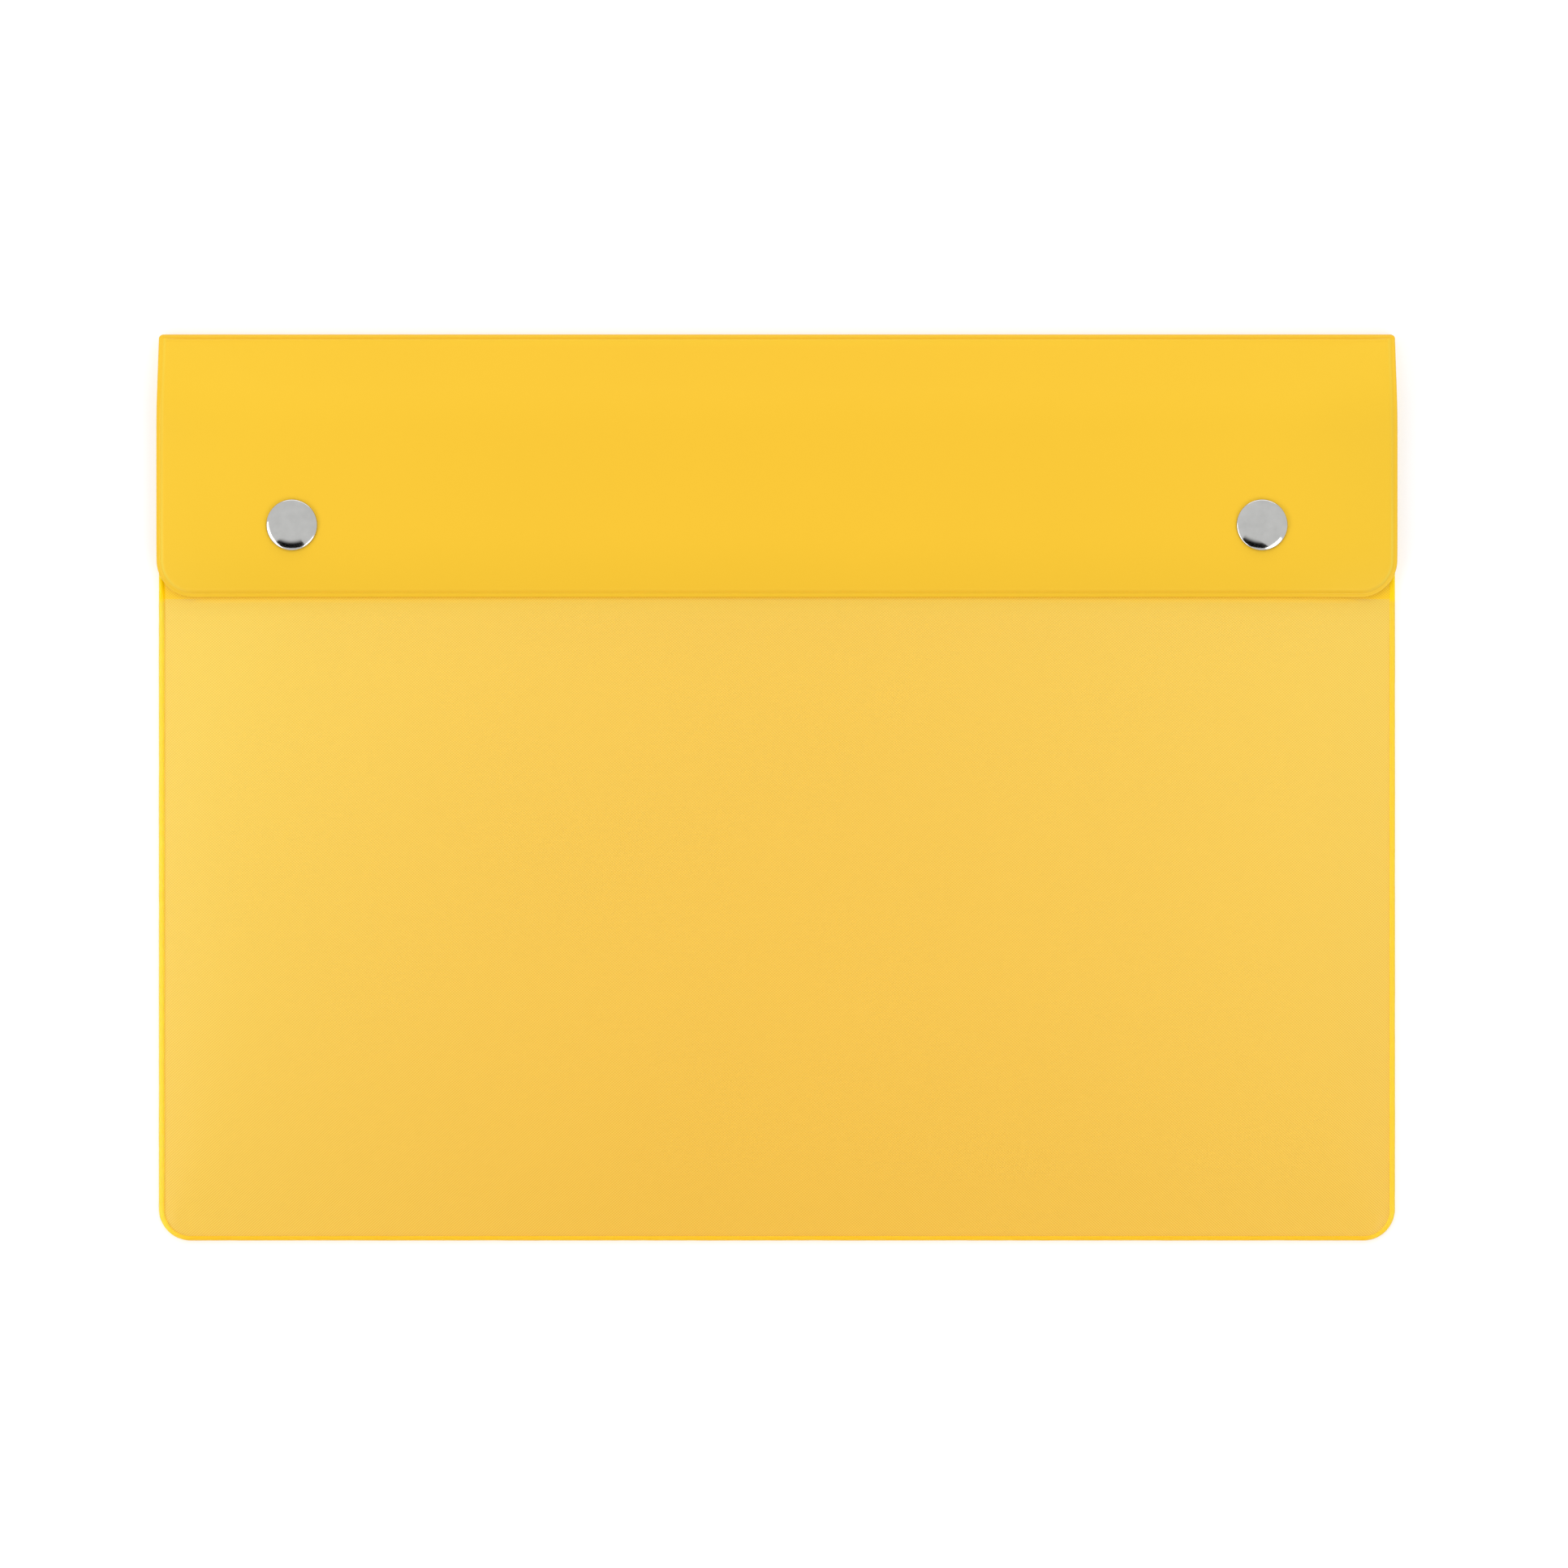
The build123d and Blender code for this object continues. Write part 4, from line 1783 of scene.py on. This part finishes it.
@dataclass
class SnapFastener:
    """One snap: cap and socket on the flap, stud and eyelet on the pocket front."""

    layout: Layout
    finishes: Finishes
    side: Side
    cap_radius: float = 6.58
    cap_height: float = 1.6
    cap_wall: float = 0.5
    cap_bow: float = 0.05
    cap_brow: float = 0.45
    cap_brow_power: float = 3.0
    cap_foot_ease: float = 0.16
    dome_share: float = 0.955
    dome_steps: int = 40
    rim_drop: float = 0.13
    rim_ease: float = 0.30
    post_radius: float = 2.0
    post_bore: float = 1.4
    clinch_radius: float = 2.8
    clinch_height: float = 0.3
    socket_radius: float = 5.25
    socket_height: float = 2.5
    socket_bore: float = 3.4
    socket_web: float = 0.4
    socket_lip: float = 0.25
    socket_ease: float = 0.55
    socket_bore_ease: float = 0.3
    groove_depth: float = 0.5
    groove_height: float = 0.6
    stud_flange_radius: float = 4.5
    stud_flange_height: float = 0.4
    stud_flange_ease: float = 0.2
    stud_neck_radius: float = 2.2
    stud_neck_height: float = 1.0
    stud_neck_ease: float = 0.1
    stud_foot_ease: float = 0.15
    stud_head_radius: float = 2.8
    stud_head_flare: float = 0.15
    stud_head_ease: float = 0.35
    stud_height: float = 2.15
    stud_wall: float = 0.2
    eyelet_flange_radius: float = 4.2
    eyelet_flange_height: float = 0.4
    eyelet_flange_ease: float = 0.2
    eyelet_radius: float = 1.5
    eyelet_bore: float = 1.1
    eyelet_roll_radius: float = 1.9
    eyelet_roll_height: float = 0.3
    gap: float = 0.1
    ease: float = 0.12

    def centre(self, level: float) -> Vector:
        """Middle of this snap at a height."""
        sign = -1.0 if self.side is Side.LEFT else 1.0
        return Vector((sign * self.layout.snap_x, self.layout.snap_y, level))

    def name(self, piece: str) -> str:
        """Name of one of this snap's pieces."""
        return f"{self.side.value}_{piece}"

    def dome(self) -> Corners:
        """Crowned face of the cap, from its middle to its brow.

        Returns:
            Its corners.
        """
        corners = []
        for share in np.linspace(0.0, self.dome_share, self.dome_steps):
            bow = self.cap_bow * share**2 / 2
            brow = self.cap_brow * share ** (self.cap_brow_power + 1) / (self.cap_brow_power + 1)
            corners.append((share * self.cap_radius, self.cap_height - self.cap_radius * (bow + brow), 0.0))
        return corners

    def cap_corners(self) -> Corners:
        """Section of the cap and its post; height zero is the flap's outer face.

        Returns:
            Its corners.
        """
        dome = self.dome()
        shoulder = dome[-1][1] - self.rim_drop
        inner_top = self.cap_height - self.cap_wall
        seat = self.layout.flap_under - self.layout.flap_top - self.socket_web
        foot = seat - self.clinch_height
        rim = self.cap_radius - self.cap_wall
        return [
            *dome,
            (self.cap_radius, shoulder, self.rim_ease),
            (self.cap_radius, 0.0, self.cap_foot_ease),
            (rim, 0.0, self.ease),
            (rim, shoulder / 2, self.ease),
            (self.post_radius + 2 * self.cap_wall, inner_top - self.ease, self.ease),
            (self.post_radius, inner_top - self.ease, 0.0),
            (self.post_radius, seat, 0.0),
            (self.clinch_radius, seat, self.ease),
            (self.clinch_radius, foot, self.ease),
            (self.post_bore, foot, self.ease),
            (self.post_bore, inner_top - 2 * self.ease, 0.0),
            (0.0, inner_top - 2 * self.ease, 0.0),
        ]

    def socket_corners(self) -> Corners:
        """Section of the socket, hanging below height zero.

        Returns:
            Its corners.
        """
        hole = self.post_radius + self.gap
        bottom = -self.socket_height
        groove_low = bottom + self.socket_lip
        groove_high = groove_low + self.groove_height
        groove = self.socket_bore + self.groove_depth
        return [
            (hole, 0.0, 0.0),
            (self.socket_radius, 0.0, self.ease),
            (self.socket_radius, bottom, self.socket_ease),
            (self.socket_bore, bottom, self.ease),
            (self.socket_bore, groove_low, 0.0),
            (groove, groove_low, 0.0),
            (groove, groove_high, 0.0),
            (self.socket_bore, groove_high, 0.0),
            (self.socket_bore, -self.socket_web, self.socket_bore_ease),
            (hole, -self.socket_web, 0.0),
        ]

    def stud_corners(self) -> Corners:
        """Section of the stud, standing on the film at height zero.

        Returns:
            Its corners.
        """
        bore = self.eyelet_radius + self.gap
        room = self.eyelet_roll_radius + self.gap
        neck_top = self.stud_flange_height + self.stud_neck_height
        inner_top = self.stud_height - self.stud_wall
        return [
            (bore, 0.0, 0.0),
            (self.stud_flange_radius, 0.0, self.ease),
            (self.stud_flange_radius, self.stud_flange_height, self.stud_flange_ease),
            (self.stud_neck_radius, self.stud_flange_height, self.stud_foot_ease),
            (self.stud_neck_radius, neck_top, self.stud_neck_ease),
            (self.stud_head_radius, neck_top + self.stud_head_flare, self.stud_neck_ease),
            (self.stud_head_radius, self.stud_height, self.stud_head_ease),
            (0.0, self.stud_height, 0.0),
            (0.0, inner_top, 0.0),
            (room, inner_top, 0.0),
            (room, neck_top, 0.0),
            (bore, neck_top, 0.0),
        ]

    def eyelet_corners(self) -> Corners:
        """Section of the eyelet, with its flange below the film.

        Returns:
            Its corners.
        """
        roll_low = self.layout.film_ply + self.stud_flange_height + self.stud_neck_height
        roll_top = roll_low + self.eyelet_roll_height
        return [
            (self.eyelet_bore, -self.eyelet_flange_height, self.eyelet_flange_ease),
            (self.eyelet_flange_radius, -self.eyelet_flange_height, self.eyelet_flange_ease),
            (self.eyelet_flange_radius, 0.0, self.ease),
            (self.eyelet_radius, 0.0, 0.0),
            (self.eyelet_radius, roll_low, 0.0),
            (self.eyelet_roll_radius, roll_low, self.ease),
            (self.eyelet_roll_radius, roll_top, self.ease),
            (self.eyelet_bore, roll_top, self.ease),
        ]

    def build(self) -> None:
        """Builds and dresses the pieces of this snap."""
        place = self.layout
        turned: tuple[tuple[str, Callable[[], Corners], float, Body], ...] = (
            ("cap", self.cap_corners, place.flap_top, Body.FLAP),
            ("socket", self.socket_corners, place.flap_under, Body.FLAP),
            ("stud", self.stud_corners, place.film_top, Body.POCKET),
            ("eyelet", self.eyelet_corners, place.film_top - place.film_ply, Body.POCKET),
        )
        for piece, corners, level, body in turned:
            made = lathe(self.name("snap_" + piece), eased(corners()), self.centre(level))
            fit(made, self.finishes, Slot.NICKEL, body, self.name(piece))
        dress_node(self.name("spring"), self.finishes[Slot.SPRING])


# Studio


def lit_strength(graph: Graph, low: float, high: float) -> Socket:
    """Strength that is high for rays that show the background, and low for light.

    Args:
        graph: The tree to build in.
        low: Strength as a light.
        high: Strength as a background.

    Returns:
        The strength.
    """
    path = graph.node("ShaderNodeLightPath").outputs
    seen = graph.math("MAXIMUM", path["Is Camera Ray"], path["Is Glossy Ray"])
    seen = graph.math("MAXIMUM", seen, path["Is Transmission Ray"])
    return graph.span(seen, low, high)


@dataclass(frozen=True)
class Softbox:
    """A rectangular soft lamp aimed at the wallet, which metal mirrors or not. Metres and degrees."""

    name: str
    azimuth: float
    elevation: float
    width: float
    height: float
    level: float
    distance: float = 2.5
    mirrored: bool = True

    def place(self) -> None:
        """Sets the lamp up; its level is the brightness that it alone gives a white sheet."""
        around = math.radians(self.azimuth)
        up = math.radians(self.elevation)
        towards = Vector((math.cos(around) * math.cos(up), math.sin(around) * math.cos(up), math.sin(up)))
        lamp = bpy.data.lights.new(self.name, "AREA")
        lamp.shape = "RECTANGLE"
        lamp.size = self.width
        lamp.size_y = self.height
        lamp.energy = self.level * (math.pi * self.distance) ** 2 / math.sin(up)
        made = bpy.data.objects.new(self.name, lamp)
        made.location = towards * self.distance
        made.rotation_euler = towards.to_track_quat("Z", "Y").to_euler()
        made.visible_camera = False
        made.visible_glossy = self.mirrored
        bpy.context.scene.collection.objects.link(made)


@dataclass
class Studio:
    """Pale floor, soft lamps, white surroundings, and a camera straight above. Metres."""

    floor_half: float = 6.0
    floor_drop: float = 0.0001
    floor_colour: Colour = (0.72, 0.72, 0.72)
    floor_glow: float = 0.42
    ambient: float = 0.53
    camera_height: float = 1.807
    camera_shift: tuple[float, float] = (0.00183, 0.00093)
    lens: float = 160.2
    sensor: float = 36.0
    card_colour: Colour = (0.01, 0.01, 0.01)
    card_low: tuple[float, float] = (-1.75, 2.09)
    card_high: tuple[float, float] = (-0.45, 2.84)
    card_low_x: tuple[float, float] = (-2.20, 0.95)
    card_high_x: tuple[float, float] = (-0.75, 0.05)
    card_fade: tuple[float, float] = (2.46, 2.84)
    softboxes: tuple[Softbox, ...] = (
        Softbox("left_softbox", azimuth=206.0, elevation=38.0, width=2.6, height=0.80, level=0.17),
        Softbox("right_softbox", azimuth=312.0, elevation=42.0, width=1.4, height=0.80, level=0.13),
        Softbox("back_softbox", azimuth=85.0, elevation=22.0, width=2.9, height=0.70, level=0.06),
        Softbox(
            "top_softbox", azimuth=90.0, elevation=55.0, width=2.7, height=1.4, level=0.23, mirrored=False
        ),
    )

    def build(self) -> None:
        """Sets everything up."""
        self.build_world()
        self.build_floor()
        self.build_card()
        for softbox in self.softboxes:
            softbox.place()
        self.build_camera()
        bpy.context.scene.view_settings.view_transform = "Standard"

    def build_world(self) -> None:
        """White surroundings, dimmer as a light than as a background."""
        world = bpy.data.worlds.new("surroundings")
        world.use_nodes = True
        graph = Graph(world.node_tree)
        background = next(node for node in world.node_tree.nodes if node.type == "BACKGROUND")
        graph.feed(background, Color=WHITE, Strength=lit_strength(graph, self.ambient, 1.0))
        bpy.context.scene.world = world

    def plane(
        self, name: str, finish: str, colour: Colour, corners: Corners
    ) -> tuple[bpy.types.Object, Graph, bpy.types.Node]:
        """A flat four-cornered surface without gloss.

        Args:
            name: Its name.
            finish: Its material's name.
            colour: Its colour.
            corners: Its corners in order, in metres.

        Returns:
            The object, its material's graph and Principled node.
        """
        made = make_object(name, np.array(corners) / MM, [(0, 1, 2, 3)])
        material, graph, surface = new_material(finish)
        graph.feed(surface, Base_Color=colour, Roughness=1.0, Specular_IOR_Level=0.0)
        dress(made, material)
        return made, graph, surface

    def build_floor(self) -> None:
        """Pale floor that keeps the wallet's shadow."""
        half, level = self.floor_half, -self.floor_drop
        corners = [(-half, -half, level), (half, -half, level), (half, half, level), (-half, half, level)]
        _, graph, surface = self.plane("floor", "pale_floor", self.floor_colour, corners)
        strength = lit_strength(graph, 0.0, self.floor_glow)
        graph.feed(surface, Emission_Color=WHITE, Emission_Strength=strength)

    def build_card(self) -> None:
        """Black card on the near side, which gives the metal its dark reflection."""
        corners = [(x, *self.card_low) for x in self.card_low_x]
        corners += [(x, *self.card_high) for x in reversed(self.card_high_x)]
        card, graph, surface = self.plane("black_card", "black_card", self.card_colour, corners)
        axes = graph.feed(graph.node("ShaderNodeSeparateXYZ"), Vector=graph.place())
        fade = graph.node("ShaderNodeMapRange", interpolation_type="SMOOTHSTEP")
        start, end = self.card_fade
        graph.feed(fade, Value=axes.outputs["Z"], From_Min=start, From_Max=end, To_Min=1.0, To_Max=0.0)
        graph.feed(surface, Alpha=fade.outputs["Result"])
        card.visible_camera = False

    def build_camera(self) -> None:
        """Camera straight above the wallet."""
        data = bpy.data.cameras.new("camera")
        data.lens = self.lens
        data.sensor_width = self.sensor
        camera = bpy.data.objects.new("camera", data)
        camera.location = (*self.camera_shift, self.camera_height)
        bpy.context.scene.collection.objects.link(camera)
        bpy.context.scene.camera = camera


def main() -> None:
    """Builds the wallet piece by piece, then the studio."""
    logging.basicConfig(level=logging.INFO, format="%(name)s: %(message)s")
    layout = Layout.from_frame()
    finishes = make_finishes()
    assemblies = [
        BackWall(layout, finishes),
        PocketFront(layout, finishes),
        WeldBead(layout, finishes),
        FoldStrip(layout, finishes),
        Flap(layout, finishes),
        *(SnapFastener(layout, finishes, side) for side in Side),
    ]
    for assembly in assemblies:
        assembly.build()
    Studio().build()


if __name__ == "__main__":
    main()
